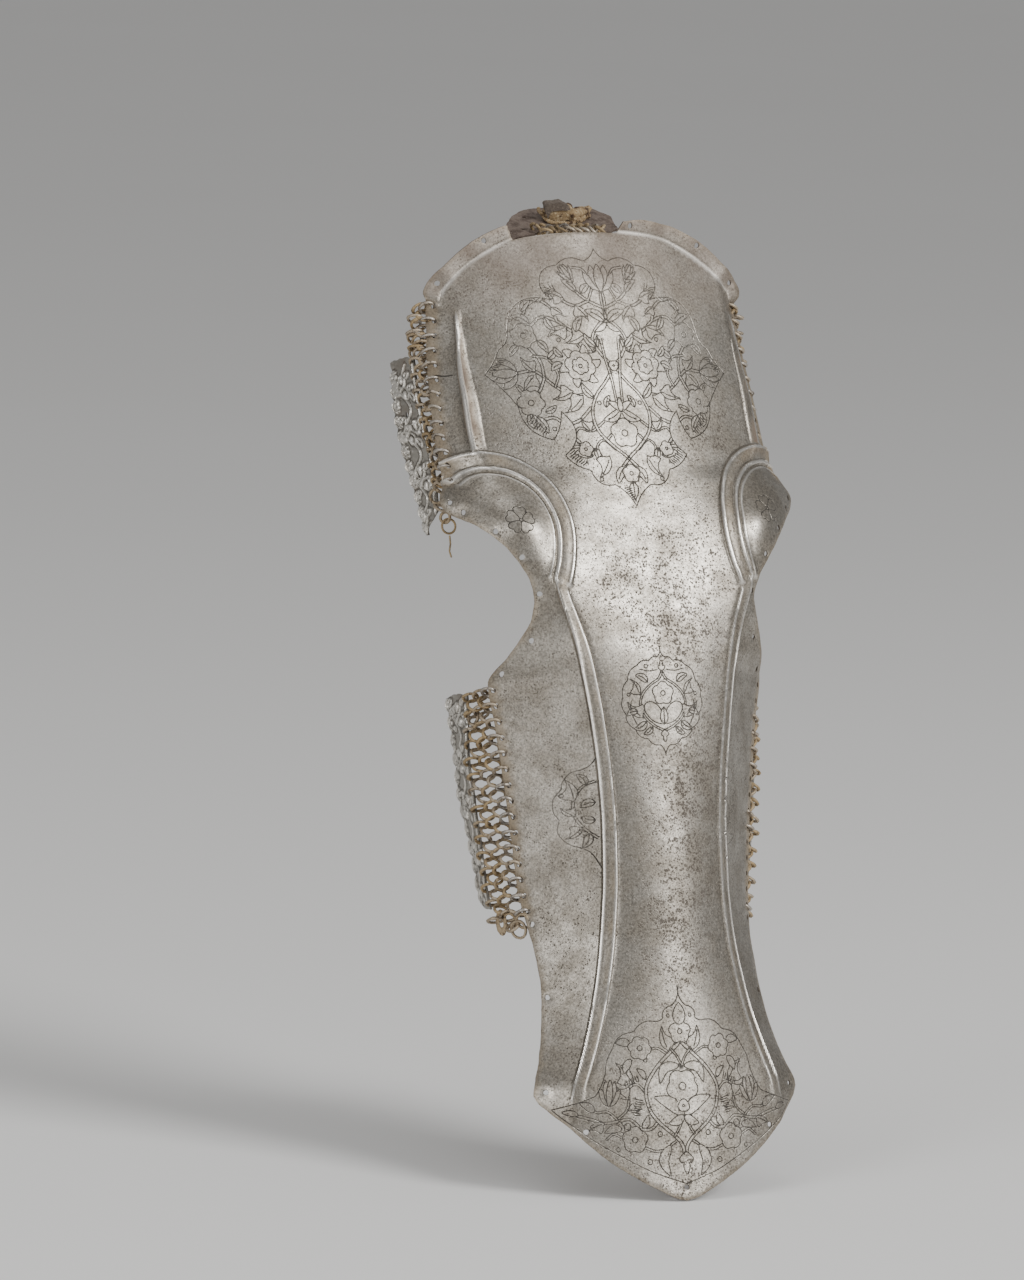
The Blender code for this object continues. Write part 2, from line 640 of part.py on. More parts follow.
def loose_wire_mesh():
    """The bent end of wire that hangs from the loose ring."""
    angles = [2 * math.pi * k / WIRE_SIDES for k in range(WIRE_SIDES)]
    around = [Vector((math.cos(a), math.sin(a), 0.0)) * LOOSE_WIRE_RADIUS for a in angles]
    return loft([[Vector(point) + offset for offset in around] for point in LOOSE_WIRE])


def add_face_plate():
    """The one large plate, in old bright steel."""
    steel = material("old_bright_steel", (0.36, 0.34, 0.31), 0.38, 1.0)
    add_piece("face_plate", face_plate_mesh(), steel, wall=WALL)


def add_strips():
    """The four embossed strips that hang at the sides."""
    steel = material("embossed_steel", (0.24, 0.235, 0.225), 0.5, 1.0)
    for side, sign in (("left", -1), ("right", 1)):
        lower = strip_mesh(LOWER_TABLE, *LOWER_STRIP_SPAN, sign)
        upper = strip_mesh(UPPER_TABLE, *UPPER_STRIP_SPAN, sign, UPPER_STRIP_POINT)
        add_piece("strip_lower_" + side, lower, steel)
        add_piece("strip_upper_" + side, upper, steel)


def add_mail(iron):
    """The bands of rings that join the strips to the plate."""
    for side, sign in (("left", -1), ("right", 1)):
        add_piece("mail_lower_" + side, mail_mesh(LOWER_TABLE, *LOWER_MAIL_SPAN, sign, LOWER_MAIL_SAG), iron)
        add_piece("mail_upper_" + side, mail_mesh(UPPER_TABLE, *UPPER_MAIL_SPAN, sign, UPPER_MAIL_SAG), iron)


def add_poll(iron):
    """The brown plate behind the top rim, its corroded stump and its rings."""
    brown = material("brown_iron", (0.16, 0.11, 0.08), 0.7, 0.8)
    crust = material("rust_crust", (0.20, 0.13, 0.07), 0.95, 0.1)
    add_piece("poll_plate", poll_plate_mesh(), brown, wall=POLL_WALL)
    add_piece("poll_block", poll_block_mesh(), crust)
    add_piece("poll_mail", poll_mail_mesh(), iron)


def main():
    """Clear the scene and build every piece."""
    for old in list(bpy.data.objects):
        bpy.data.objects.remove(old, do_unlink=True)
    iron = material("oxidised_iron_rings", (0.30, 0.23, 0.14), 0.55, 0.9)
    add_face_plate()
    add_strips()
    add_mail(iron)
    add_poll(iron)
    add_piece("loose_ring", loose_ring_mesh(), iron)
    add_piece("loose_wire", loose_wire_mesh(), iron)


main()
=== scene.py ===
"""A chanfron, the steel face plate of a horse's armour: its looks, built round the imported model.

Sizes are in millimetres in the plate's own frame until a piece is put in place: out runs to the right, back
away from the viewer and height up the nose line from the tip. Form.place leans that frame back, moves the
origin to the mount on the brow and turns it to metres.
"""

import logging
import math
import random
from collections.abc import Iterable, Sequence
from dataclasses import dataclass, field
from enum import Enum

import bmesh
import bpy
import numpy as np
from mathutils import Matrix, Vector, kdtree, noise
from mathutils.geometry import delaunay_2d_cdt


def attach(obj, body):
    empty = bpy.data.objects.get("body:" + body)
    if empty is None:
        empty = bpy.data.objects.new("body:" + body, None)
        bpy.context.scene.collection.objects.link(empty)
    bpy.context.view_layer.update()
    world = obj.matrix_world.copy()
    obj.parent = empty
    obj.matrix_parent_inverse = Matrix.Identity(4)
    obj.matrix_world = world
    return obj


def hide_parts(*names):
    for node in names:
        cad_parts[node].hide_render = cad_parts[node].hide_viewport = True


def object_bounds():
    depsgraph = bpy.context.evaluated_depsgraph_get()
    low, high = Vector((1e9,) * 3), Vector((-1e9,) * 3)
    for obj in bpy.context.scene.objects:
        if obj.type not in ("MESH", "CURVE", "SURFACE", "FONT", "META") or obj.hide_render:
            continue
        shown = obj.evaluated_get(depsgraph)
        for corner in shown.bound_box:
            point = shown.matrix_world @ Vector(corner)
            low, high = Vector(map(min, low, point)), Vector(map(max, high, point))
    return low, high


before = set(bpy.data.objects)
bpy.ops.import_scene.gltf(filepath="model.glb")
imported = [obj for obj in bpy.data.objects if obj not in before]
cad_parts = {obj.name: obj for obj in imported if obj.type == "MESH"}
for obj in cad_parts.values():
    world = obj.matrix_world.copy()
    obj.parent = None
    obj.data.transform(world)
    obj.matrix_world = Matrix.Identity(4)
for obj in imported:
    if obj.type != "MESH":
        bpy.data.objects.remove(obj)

CAD_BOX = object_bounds()
MM = 0.001
ROW_STEP = 0.866  # the rows of a staggered field stand this share of its pitch apart
TINY = 1e-12
BATCH = 4000  # points measured at a time, to bound the memory it takes
LOG = logging.getLogger("chanfron")

Line = np.ndarray
Pair = tuple[float, float]
Triple = tuple[float, float, float]
Spot = Sequence[float]
Tree = bpy.types.NodeTree
Socket = bpy.types.NodeSocket
Mesh = bmesh.types.BMesh


class Side(Enum):
    """The side of the face a piece hangs on, as the sign of its out."""

    LEFT = -1
    RIGHT = 1


# ---------------------------------------------------------------- curves and tables


def eased(value: np.ndarray | float, low: float, high: float) -> np.ndarray:
    """A smooth step from 0 at low to 1 at high."""
    t = np.clip((np.asarray(value, float) - low) / (high - low), 0.0, 1.0)
    return t * t * (3.0 - 2.0 * t)


@dataclass(frozen=True)
class Table:
    """Rows of sizes read at any level, each column along a smooth curve that never overshoots."""

    rows: tuple[tuple[float, ...], ...]

    def at(self, level: np.ndarray | float) -> np.ndarray:
        """Every column at the given levels.

        Args:
            level: where to read the table, held to its ends.

        Returns:
            One row for each level, without the level itself.
        """
        table = np.array(self.rows, float)
        knots, values = table[:, 0], table[:, 1:]
        spans = np.diff(knots)
        steps = np.diff(values, axis=0) / spans[:, None]
        bends = steps[:-1] * steps[1:]
        safe = np.where(bends > 0.0, steps[:-1] + steps[1:], 1.0)
        tangents = np.vstack([steps[:1], np.where(bends > 0.0, 2.0 * bends / safe, 0.0), steps[-1:]])
        level = np.clip(np.atleast_1d(level).astype(float), knots[0], knots[-1])
        i = np.clip(np.searchsorted(knots, level, side="right") - 1, 0, len(spans) - 1)
        span = spans[i][:, None]
        t = (level[:, None] - knots[i][:, None]) / span
        found = values[i] * (1 + 2 * t) * (1 - t) ** 2 + values[i + 1] * t * t * (3 - 2 * t)
        return found + span * (tangents[i] * t * (1 - t) ** 2 - tangents[i + 1] * t * t * (1 - t))


def curve_through(corners: Sequence[Spot], pitch: float, closed: bool = False) -> Line:
    """Points about a pitch apart along a smooth curve through the corners.

    Args:
        corners: the corners to pass through.
        pitch: the spacing wanted, in the corners' unit.
        closed: whether the curve runs back to its start.

    Returns:
        One row for each point.
    """
    points = np.array(corners, float)
    if closed:
        ends = np.vstack([points[-1:], points, points[:2]])
    else:
        ends = np.vstack([2 * points[0] - points[1], points, 2 * points[-1] - points[-2]])
    route = []
    for a, b, c, d in zip(ends, ends[1:], ends[2:], ends[3:]):
        count = max(1, round(float(np.linalg.norm(c - b)) / pitch))
        t = (np.arange(count) / count)[:, None]
        bend = (2 * a - 5 * b + 4 * c - d) * t**2 + (3 * b - a - 3 * c + d) * t**3
        route.append(b + ((c - a) * t + bend) / 2)
    if not closed:
        route.append(points[-1:])
    return np.vstack(route)


def respaced(route: Line, pitch: float, closed: bool = False) -> Line:
    """The same route with its points evenly spaced.

    Args:
        route: the route's points in order.
        pitch: about how far apart the new points lie.
        closed: whether it runs back to its start, which then comes once more at its end.

    Returns:
        The new points.
    """
    route = shut(route) if closed else route
    along = np.concatenate([[0.0], np.cumsum(np.linalg.norm(np.diff(route, axis=0), axis=1))])
    wanted = np.linspace(0.0, along[-1], max(1, round(float(along[-1]) / pitch)) + 1)
    return np.stack([np.interp(wanted, along, route[:, k]) for k in range(route.shape[1])], axis=1)


def shut(loop: Line) -> Line:
    """A loop with its first point once more at its end."""
    return np.vstack([loop, loop[:1]])


def around(angle: np.ndarray) -> Line:
    """Points of the unit circle at the given angles."""
    return np.stack([np.cos(angle), np.sin(angle)], axis=1)


def offset(route: Line, away: float | np.ndarray) -> Line:
    """A flat route moved sideways, positive to its left.

    Args:
        route: the route's points in order.
        away: how far, for all of them or for each.

    Returns:
        The moved points.
    """
    run = np.gradient(route, axis=0)
    run /= np.linalg.norm(run, axis=1)[:, None] + TINY
    return route + np.stack([-run[:, 1], run[:, 0]], axis=1) * np.reshape(away, (-1, 1))


def within(points: Line, outline: Line) -> np.ndarray:
    """Which points lie inside a closed outline.

    Args:
        points: the points to test.
        outline: the outline's points, the last joined to the first.

    Returns:
        True for each point inside.
    """
    a, b = outline, np.roll(outline, -1, axis=0)
    rise = b[:, 1] - a[:, 1]
    rise[rise == 0.0] = TINY
    inside = np.zeros(len(points), bool)
    for first in range(0, len(points), BATCH):
        some = points[first:first + BATCH]
        over = (a[None, :, 1] > some[:, 1:2]) != (b[None, :, 1] > some[:, 1:2])
        cross = a[None, :, 0] + (some[:, 1:2] - a[None, :, 1]) * ((b[:, 0] - a[:, 0]) / rise)[None]
        inside[first:first + BATCH] = (over & (some[:, :1] < cross)).sum(axis=1) % 2 == 1
    return inside


def beside(route: Line, points: Line) -> tuple[np.ndarray, Line]:
    """Signed distance of points from a route, positive on its left, and the nearest points on it.

    Args:
        route: the route's points in order.
        points: the points to measure.

    Returns:
        The distances and the feet, one row for each point.
    """
    start, run = route[:-1], np.diff(route, axis=0)
    distances, feet = [], []
    for first in range(0, len(points), BATCH):
        some = points[first:first + BATCH]
        gap = some[:, None] - start[None]
        t = np.clip((gap * run).sum(axis=2) / (run * run).sum(axis=1), 0.0, 1.0)
        foot = start[None] + run[None] * t[..., None]
        reach = np.linalg.norm(some[:, None] - foot, axis=2)
        rows, best = np.arange(len(some)), reach.argmin(axis=1)
        turn = run[best, 0] * gap[rows, best, 1] - run[best, 1] * gap[rows, best, 0]
        distances.append(np.copysign(reach[rows, best], turn))
        feet.append(foot[rows, best])
    return np.concatenate(distances), np.vstack(feet)


def turned(run: np.ndarray, size: float) -> np.ndarray:
    """A step of the given size square to a direction, to its left."""
    return np.array([-run[1], run[0]]) / (np.linalg.norm(run) + TINY) * size


def folded(spots: Line) -> Line:
    """Spots of either half brought over to the right half."""
    return np.stack([np.abs(spots[:, 0]), spots[:, 1]], axis=1)


def mottled(points: np.ndarray, size: float, seed: float = 0.0) -> np.ndarray:
    """Smooth noise about -1 to 1 at each point, with lumps of the given size."""
    return np.array([noise.noise(Vector((*p, 0.0)[:3]) / size + Vector((seed, 2.3 * seed, -seed))) for p in points])


def staggered(pitch: float, low: float, rows: int, columns: range) -> Line:
    """A field of points a pitch apart, each row shifted half a pitch from the last.

    Args:
        pitch: the spacing.
        low: the level of the first row.
        rows: how many rows.
        columns: the places in each row, in pitches.

    Returns:
        The points, row by row.
    """
    return np.array([((column + 0.5 * (row % 2)) * pitch, low + row * pitch * ROW_STEP)
                     for row in range(rows) for column in columns])


class Nearest:
    """Finds how far points lie from a set of others."""

    def __init__(self, others: np.ndarray) -> None:
        """Sort the others for searching.

        Args:
            others: the points to measure from.
        """
        self.tree = kdtree.KDTree(len(others))
        for k, other in enumerate(others):
            self.tree.insert((*other, 0.0)[:3], k)
        self.tree.balance()

    def distance(self, points: np.ndarray) -> np.ndarray:
        """The distance from each point to the nearest of the others."""
        return np.array([self.tree.find((*point, 0.0)[:3])[2] for point in points])


class Scatter:
    """Flat points that keep clear of each other, added a group at a time."""

    CELL = 1.5

    def __init__(self, loops: Sequence[Line]) -> None:
        """Start with the points of the loops alone.

        Args:
            loops: the outline and then each hole.
        """
        self.points: list[Pair] = []
        self.cells: dict[tuple[int, int], list[int]] = {}
        for loop in loops:
            self.add(loop, 0.0)

    def add(self, points: Iterable[Spot], clear: float) -> None:
        """Add the points that stand at least a distance clear of all that are there already.

        Args:
            points: the points to try, in order.
            clear: the distance, or 0 to add them all.
        """
        reach = math.ceil(clear / self.CELL)
        for x, y in points:
            cell = math.floor(x / self.CELL), math.floor(y / self.CELL)
            if clear and self._near(x, y, cell, reach, clear):
                continue
            self.cells.setdefault(cell, []).append(len(self.points))
            self.points.append((float(x), float(y)))

    def _near(self, x: float, y: float, cell: tuple[int, int], reach: int, clear: float) -> bool:
        """Whether a point already stands within the clear distance.

        Args:
            x, y: the place to test.
            cell: the cell it lies in.
            reach: how many cells on every side may hold such a point.
            clear: the distance.

        Returns:
            True when there is one.
        """
        for i in range(cell[0] - reach, cell[0] + reach + 1):
            for j in range(cell[1] - reach, cell[1] + reach + 1):
                for k in self.cells.get((i, j), ()):
                    px, py = self.points[k]
                    if (px - x) ** 2 + (py - y) ** 2 < clear * clear:
                        return True
        return False


# ---------------------------------------------------------------- engraved ornament

# A split leaf, as shares of the way to its tip and across: its outer edge, its inner edge, its hook and its vein.
SPLIT_LEAF = (((0, 0), (0.25, -0.2), (0.6, -0.22), (1, 0)), ((1, 0), (0.72, 0.02), (0.52, 0.16), (0.42, 0.4)),
              ((0.42, 0.4), (0.26, 0.34), (0.16, 0.2), (0.1, 0.06)), ((0.18, -0.04), (0.45, -0.07), (0.78, -0.06)))
# The same of a lotus: both edges of its low petals and of its high ones, then its heart.
LOTUS_PETALS = ((((0, 0), (0.12, 0.6), (0.42, 1.0), (0.72, 1.05)), ((0.72, 1.05), (0.55, 0.62), (0.4, 0.3), (0, 0))),
                (((0, 0), (0.3, 0.42), (0.66, 0.66), (0.98, 0.46)), ((0.98, 0.46), (0.72, 0.2), (0, 0))))
LOTUS_HEART = ((0, 0), (0.35, 0.3), (0.7, 0.26), (1, 0), (0.7, -0.26), (0.35, -0.3))
BUD = ((0, 0.1), (-0.35, 0.3), (-0.62, 0.62), (-0.5, 0.95), (-0.22, 0.95), (-0.3, 1.25), (0, 1.9), (0.3, 1.25),
       (0.22, 0.95), (0.5, 0.95), (0.62, 0.62), (0.35, 0.3))
HEART_PETAL = ((0.1, 0.0), (0.45, 0.34), (0.82, 0.44), (1.0, 0.2), (0.9, 0.0), (1.0, -0.2), (0.82, -0.44),
               (0.45, -0.34))


def spread(start: np.ndarray, run: np.ndarray, across: np.ndarray, shares: Sequence[Spot]) -> list[np.ndarray]:
    """Places given as shares along a run and across it."""
    return [start + run * along + across * aside for along, aside in shares]


@dataclass
class Ornament:
    """Engraved scrollwork as lines on the flat (out, height) plane.

    A motif that is drawn later hides what lies under it, as the engraver stops a stem at a flower.
    """

    pitch: float = 1.1
    lines: list[Line] = field(default_factory=list)

    def draw(self, plan: str) -> list[Line]:
        """Draw a plan's motifs in order.

        Args:
            plan: a motif to a row: which method draws it, its points as x,y and then its sizes, with a turn in
                radians or named.

        Returns:
            All the lines so far.
        """
        turns = {"up": math.pi / 2, "down": -math.pi / 2, "over": math.pi}
        for row in plan.strip().splitlines():
            kind, *words = row.split()
            spots = [tuple(map(float, word.split(","))) for word in words if "," in word]
            sizes = [turns[word] if word in turns else float(word) for word in words if "," not in word]
            if kind in ("stem", "line", "blob", "enclose"):
                spots = [spots]
            getattr(self, kind)(*spots, *sizes)
        return self.lines

    def hide(self, outline: Line, outside: bool = False) -> None:
        """Cut away whatever lies inside a closed outline, or outside it.

        Args:
            outline: its points in order.
            outside: whether the outside goes.
        """
        kept = []
        for line in self.lines:
            open_run = within(line, outline) == outside
            cuts = np.flatnonzero(np.diff(open_run.astype(int))) + 1
            for run, seen in zip(np.split(line, cuts), np.split(open_run, cuts)):
                if seen[0] and len(run) > 1:
                    kept.append(run)
        self.lines = kept

    def curve(self, corners: Sequence[Spot]) -> Line:
        """The curve through the corners at the ornament's pitch."""
        return curve_through(corners, self.pitch)

    def line(self, corners: Sequence[Spot]) -> None:
        """Add one plain curve through the corners."""
        self.lines.append(self.curve(corners))

    def shape(self, outline: Line) -> None:
        """Add a closed outline that hides what lies under it."""
        self.hide(outline)
        self.lines.append(shut(outline))

    def blob(self, corners: Sequence[Spot]) -> None:
        """Add a smooth closed shape through the corners."""
        self.shape(curve_through(corners, self.pitch, closed=True))

    def stamp(self, corners: Sequence[Spot], base: Spot, size: float, turn: float, pitch: float) -> None:
        """Add a smooth closed shape, sized and turned about its base.

        Args:
            corners: the shape at a size of 1, pointing up.
            base: where its own origin goes.
            size: its size.
            turn: its turn.
            pitch: the spacing of its points.
        """
        c, s = math.cos(turn), math.sin(turn)
        self.shape(curve_through([(base[0] + size * (x * c - y * s), base[1] + size * (x * s + y * c))
                                  for x, y in corners], pitch, closed=True))

    def stem(self, corners: Sequence[Spot], width: float = 1.7) -> None:
        """Add a stem of two lines side by side, over whatever it crosses.

        Args:
            corners: the corners its middle passes through.
            width: from line to line.
        """
        route = self.curve(corners)
        left, right = offset(route, width / 2), offset(route, -width / 2)
        self.hide(np.vstack([left, right[::-1]]))
        self.lines += [left, right]

    def rosette(self, centre: Spot, radius: float, petals: float = 6, turn: float = 0.0) -> None:
        """Add an open flower: round petals about a small eye.

        Args:
            centre: its middle.
            radius: to the tips of its petals.
            petals: how many.
            turn: which way the first points.
        """
        angle = np.linspace(0.0, math.tau, int(petals) * 7, endpoint=False)
        reach = radius * (0.76 + 0.24 * np.abs(np.cos((angle - turn) * petals / 2)) ** 0.7)
        self.shape(np.array(centre) + around(angle) * reach[:, None])
        self.ring(centre, radius * 0.22)

    def ring(self, centre: Spot, radius: float) -> None:
        """Add a small circle."""
        sides = max(7, round(math.tau * radius / self.pitch))
        self.shape(np.array(centre) + radius * around(np.linspace(0.0, math.tau, sides, endpoint=False)))

    def leaf(self, base: Spot, tip: Spot, belly: float, sway: float = 0.0, rib: float = 1) -> None:
        """Add a pointed leaf.

        Args:
            base: where it leaves its stem.
            tip: its point.
            belly: its widest half breadth.
            sway: how far its middle is pushed to the left of the straight line.
            rib: 0 to leave out its midrib.
        """
        start, run = np.array(base), np.array(tip) - np.array(base)
        middle = self.curve([base, start + run * 0.5 + turned(run, sway), tip])
        t = np.linspace(0.0, 1.0, len(middle))
        breadth = belly * np.sin(math.pi * t**0.8) ** 0.8
        self.shape(np.vstack([offset(middle, breadth), offset(middle, -breadth)[::-1][1:-1]]))
        if rib and belly > 1.6:
            self.lines.append(middle[: max(2, round(len(middle) * 0.7))])

    def split_leaf(self, base: Spot, tip: Spot, side: float) -> None:
        """Add a half palmette: a curling leaf with a short lobe that hooks back on one side.

        Args:
            base: where it leaves its stem.
            tip: the point of its long lobe.
            side: +1 when the hook lies to the left of the way to the tip, -1 when to the right.
        """
        start, run = np.array(base), np.array(tip) - np.array(base)
        across = np.array([-run[1], run[0]]) * side
        outer, inner, hook, vein = (self.curve(spread(start, run, across, shares)) for shares in SPLIT_LEAF)
        self.shape(np.vstack([outer, inner[1:], hook[1:]]))
        self.lines.append(vein)

    def lotus(self, base: Spot, tip: Spot, breadth: float) -> None:
        """Add a palmette flower seen from the side: a pointed middle petal between two that curl out.

        Args:
            base: where it leaves its stem.
            tip: the tip of its middle petal.
            breadth: its half breadth.
        """
        start, run = np.array(base), np.array(tip) - np.array(base)
        across = turned(run, breadth)
        for far, near in LOTUS_PETALS:
            for side in (1, -1):
                edges = [self.curve(spread(start, run, across * side, shares)) for shares in (far, near)]
                self.shape(np.vstack([edges[0], edges[1][1:-1]]))
        self.blob(spread(start, run, across, LOTUS_HEART))

    def cloud(self, centre: Spot, radius: float, lobes: float, turn: float) -> None:
        """Add a full peony: a lobed edge, pointed sepals outside it and a lobed heart inside.

        Args:
            centre: its middle.
            radius: its size.
            lobes: how many lobes its edge has.
            turn: which way the first points.
        """
        middle = np.array(centre)
        for k in range(int(lobes)):
            angle = turn + math.tau * (k + 0.5) / lobes
            away = np.array([math.cos(angle), math.sin(angle)])
            self.leaf(middle + away * radius * 0.45, middle + away * radius * 1.18, radius * 0.22, radius * 0.12, 0)
        self.rosette(centre, radius * 0.82, lobes, turn)
        self.rosette(centre, radius * 0.46, lobes, turn + 0.4)

    def trefoil(self, base: Spot, size: float, turn: float) -> None:
        """Add a bud of three round lobes that ends in a point."""
        self.stamp(BUD, base, size, turn, self.pitch * 0.8)

    def hatch(self, start: Spot, end: Spot, stroke: Spot, gap: float = 1.5) -> None:
        """Add short strokes side by side along a line, as shading in a corner, each shorter than the last.

        Args:
            start: the foot of the first stroke.
            end: the foot of the last.
            stroke: the first stroke, from its foot.
            gap: from stroke to stroke.
        """
        a, b, lean = np.array(start), np.array(end), np.array(stroke)
        count = max(1, round(float(np.linalg.norm(b - a)) / gap))
        for k in range(count + 1):
            foot = a + (b - a) * k / count
            self.lines.append(curve_through([foot, foot + lean * (1.0 - 0.55 * k / count)], self.pitch * 1.6))

    def enclose(self, cusps: Sequence[Spot]) -> None:
        """Add a lobed border and cut away whatever lies outside it.

        Args:
            cusps: the right half of the border from top to foot, each cusp as out, height and the bulge to the
                left of the arc that reaches it; the left half mirrors it.
        """
        route = [np.array([cusps[0][:2]])]
        for (x0, y0, _), (x1, y1, bulge) in zip(cusps, cusps[1:]):
            run = np.array([x1 - x0, y1 - y0])
            t = np.linspace(0.0, 1.0, max(3, round(float(np.linalg.norm(run)) / self.pitch) + 1))[1:, None]
            route.append(np.array([x0, y0]) + run * t + turned(run, bulge) * 4 * t * (1 - t))
        right = np.vstack(route)
        border = np.vstack([right, right[::-1][1:] * (-1.0, 1.0)])
        self.hide(border, outside=True)
        self.lines.append(border)

    def mirror(self) -> None:
        """Repeat every line so far on the other side of the centre line."""
        self.lines += [line * np.array([-1.0, 1.0]) for line in self.lines]


# The large medallion of the brow: a lobed border about two crossing ogees of stems, with flowers and leaves.
FOREHEAD = """
stem 20,497 29,489 38,487 45,491 52,490
stem 18,507 30,505 41,511 52,521 63,520.5
stem 47,517 51,509 55,506
stem 47,518 48,528 54,537
stem 12,541 24,546 33,553 43,556 50,551
stem 33,553 36,562 44,567 52,562 55,553
stem 2,562 10,566 17,572 20,581
stem 10,566 20,563 29,568 33,576
stem 0,556 -1,566 0,576 1.5
stem 13,488 22,482 30,484 35,478 1.4
stem 41,511 38,519 43,529 52,531 1.4
stem 24,546 21,536 13,533 8,538 1.4
stem 10,566 6,576 10,586 17,588 1.4
stem 29,568 36,574 45,573 1.4
stem 8,470 15,476 20,472 18,464 1.3
split_leaf 20,563 12,553 1
split_leaf 36,562 28,556 1
split_leaf 13,533 8,544 -1
split_leaf 22,482 28,491 1
leaf 35,478 29,473 2 0.8
leaf 44,567 50,574 2.2 -1
leaf 17,572 26,580 2.2 1
leaf 43,529 37,536 2.2 1
leaf 38,487 40,478 2.2 1
leaf 10,497 6,505 1.9 -0.8
ring 34,541 1.3
ring 46,484 1.3
split_leaf 52,521 60,531 1
split_leaf 52,519 61,508 -1
lotus 63,520.5 79,520 9.5
hatch 73,529 80,521.5 -3.4,-0.6
split_leaf 24,505 37,494 1
split_leaf 30,508 44,503 1
split_leaf 16,545 30,539 1
split_leaf 27,549 41,543 -1
leaf 22,546 16,556 2.6 -1.2
leaf 41,556 35,547 2.2 1
leaf 51,552 62,557 2.6 1.4
leaf 48,541 42,533 2.2 -1
leaf 60,538 66,531 2.2 1
leaf 62,507 66,513 1.7 0.8
leaf 50,495 42,499 2 0.8
leaf 60,494 57,484 2.6 1
leaf 56,492 50,481 2.4 -1
ring 66,497 1.5
hatch 61,489 52,480.5 -2.6,3.2
rosette 56,544.3 8.2 6 0.3
rosette 58,501 8.8 6 0.1
cloud 22.5,524 12.5 6 0.25
leaf 34,526 42,521 2.3 1
leaf 33,530 38,537 2 -1
leaf 18,578 28,585 3 1.6
leaf 14,571 7,577 2.4 -1
leaf 31,574 35,567 2 1
split_leaf 26,567 38,572 -1
lotus 19,580 25,590 4.2
leaf 45,566 40,573 2 1
leaf 55,560 48,567 2.2 -1
leaf 24,466 36,468 3 1
rosette 28,470.5 5 5 0.6
leaf 31,473 39,471 2 1
leaf 22,471 21,463 2 -0.8
hatch 40,468.5 31,460.5 -3.2,2.2
split_leaf 13,466 22,452 1
ring 21,451 1.4
ring 14,500 1.3
stem 0,555 7,549 11.5,541 7,531 0.5,524
stem 0,524 7,514 15,505 19.5,494 17.5,482 9,472 2,466 -5,459
stem 6,541 5,528 3,516 2,500 1.4
stem 12,477 6,483 3,490 1.4
leaf 10,536 17,545 2.2 -1
leaf 17,503 24,513 2.2 -1.2
mirror
leaf 1,553 14,560 3 1.2
leaf 0,552 9,546 1.8 -0.8 0
leaf 0.6,495 13,489 3 -1.5
leaf 0.4,495 8,501 2 0.8 0
leaf -1,553 -14,560 3 -1.2
leaf 0,552 -9,546 1.8 0.8 0
leaf -0.6,495 -13,489 3 1.5
leaf -0.4,495 -8,501 2 -0.8 0
lotus 0,572 0,590 10
leaf 0,494 0,504 1.8 0 0
rosette 0,480.5 9.6 5 up
rosette 0,524 3.6 3 down
leaf 4,459 10,448 2.8 1
leaf -4,459 -10,448 2.8 -1
rosette 0,454.5 6 5 up
leaf 0,449 0,438 3
hatch -6,445 -1.5,438 3,1
enclose 0,600.3,0 9,592,-1.6 27,589.5,3.4 40,575,5 34,567,0.6 65.5,545,11.5 72.4,535.6,-1.4 83.2,520,-1 \
66.4,498.9,-1 47.5,477,5.5 40,495,1.5 42.1,466.7,-8.5 27.2,457,1.8 12.4,447.4,4.2 0,433.3,-1.6
"""
# The small medallion of the nose about its own centre, 54 mm wide and 67 mm high.
NOSE = """
stem 0,18.5 2.5,14 8,10.5 13.5,5 15.5,-2 13,-9.5 7,-15 0,-18.5 1.3
split_leaf 14,-10 24,0 1
split_leaf 15.5,4 21,14 -1
leaf 12,-12.5 20,-17 2.4 -1.2
leaf 17.5,-6 24.5,-8.5 2 1
leaf 10,12 18,16.5 2.2 1.2
leaf 8,-16 14.5,-20.5 1.8 -0.8
ring 10.5,22 1.3
ring 23,4.5 1.1
line 4,19.5 9,19 14,20
line 19,-13 22,-6 21.5,0
mirror
blob 0.4,-13.5 7,-12.5 12.5,-6.5 12.4,-1.5 7.5,-0.4 2.2,-5
blob -0.4,-13.5 -7,-12.5 -12.5,-6.5 -12.4,-1.5 -7.5,-0.4 -2.2,-5
leaf 0,-14.5 0,-3.5 2.6 0 0
line 0,-4 0,-9 0,-13
rosette 0,5 7.4 5 up
trefoil 0,18.5 3.9 0
trefoil 0,-17.5 4.3 over
enclose 0,33.4,0 2.4,27.5,-0.8 8,25.2,1.3 16.5,22.5,1.6 23,13.5,1.9 26.6,3,1.7 25.2,-7.5,1.8 19.5,-17,2 11.5,-23,2 \
3.4,-27.2,1.6 0,-33.6,-0.8
"""
# The half medallion beside the right nose rib.
FLANK = """
stem 44.5,262 50,259 54,251 53.5,241 49,233 43,227 1.3
split_leaf 54,250 58,264 -1
split_leaf 53,241 60.5,247 1
split_leaf 50,234 58,227 1
leaf 47,230 50,221 2.2 -1
leaf 48,260 53,267 1.9 0.8
leaf 44,249 50.5,246 2.6 1.2
leaf 44,238 50,241 2.4 -1.2
ring 59.5,254 1.1
line 44,276 46.5,272 50,269.6
line 50,269.6 55.5,268 59,263 59.8,258
line 59.8,258 63.4,252 63.2,244 60.6,239
line 60.6,239 61.4,231.5 57,224.5 51.4,221.5
line 51.4,221.5 46,217.5 42,209
"""
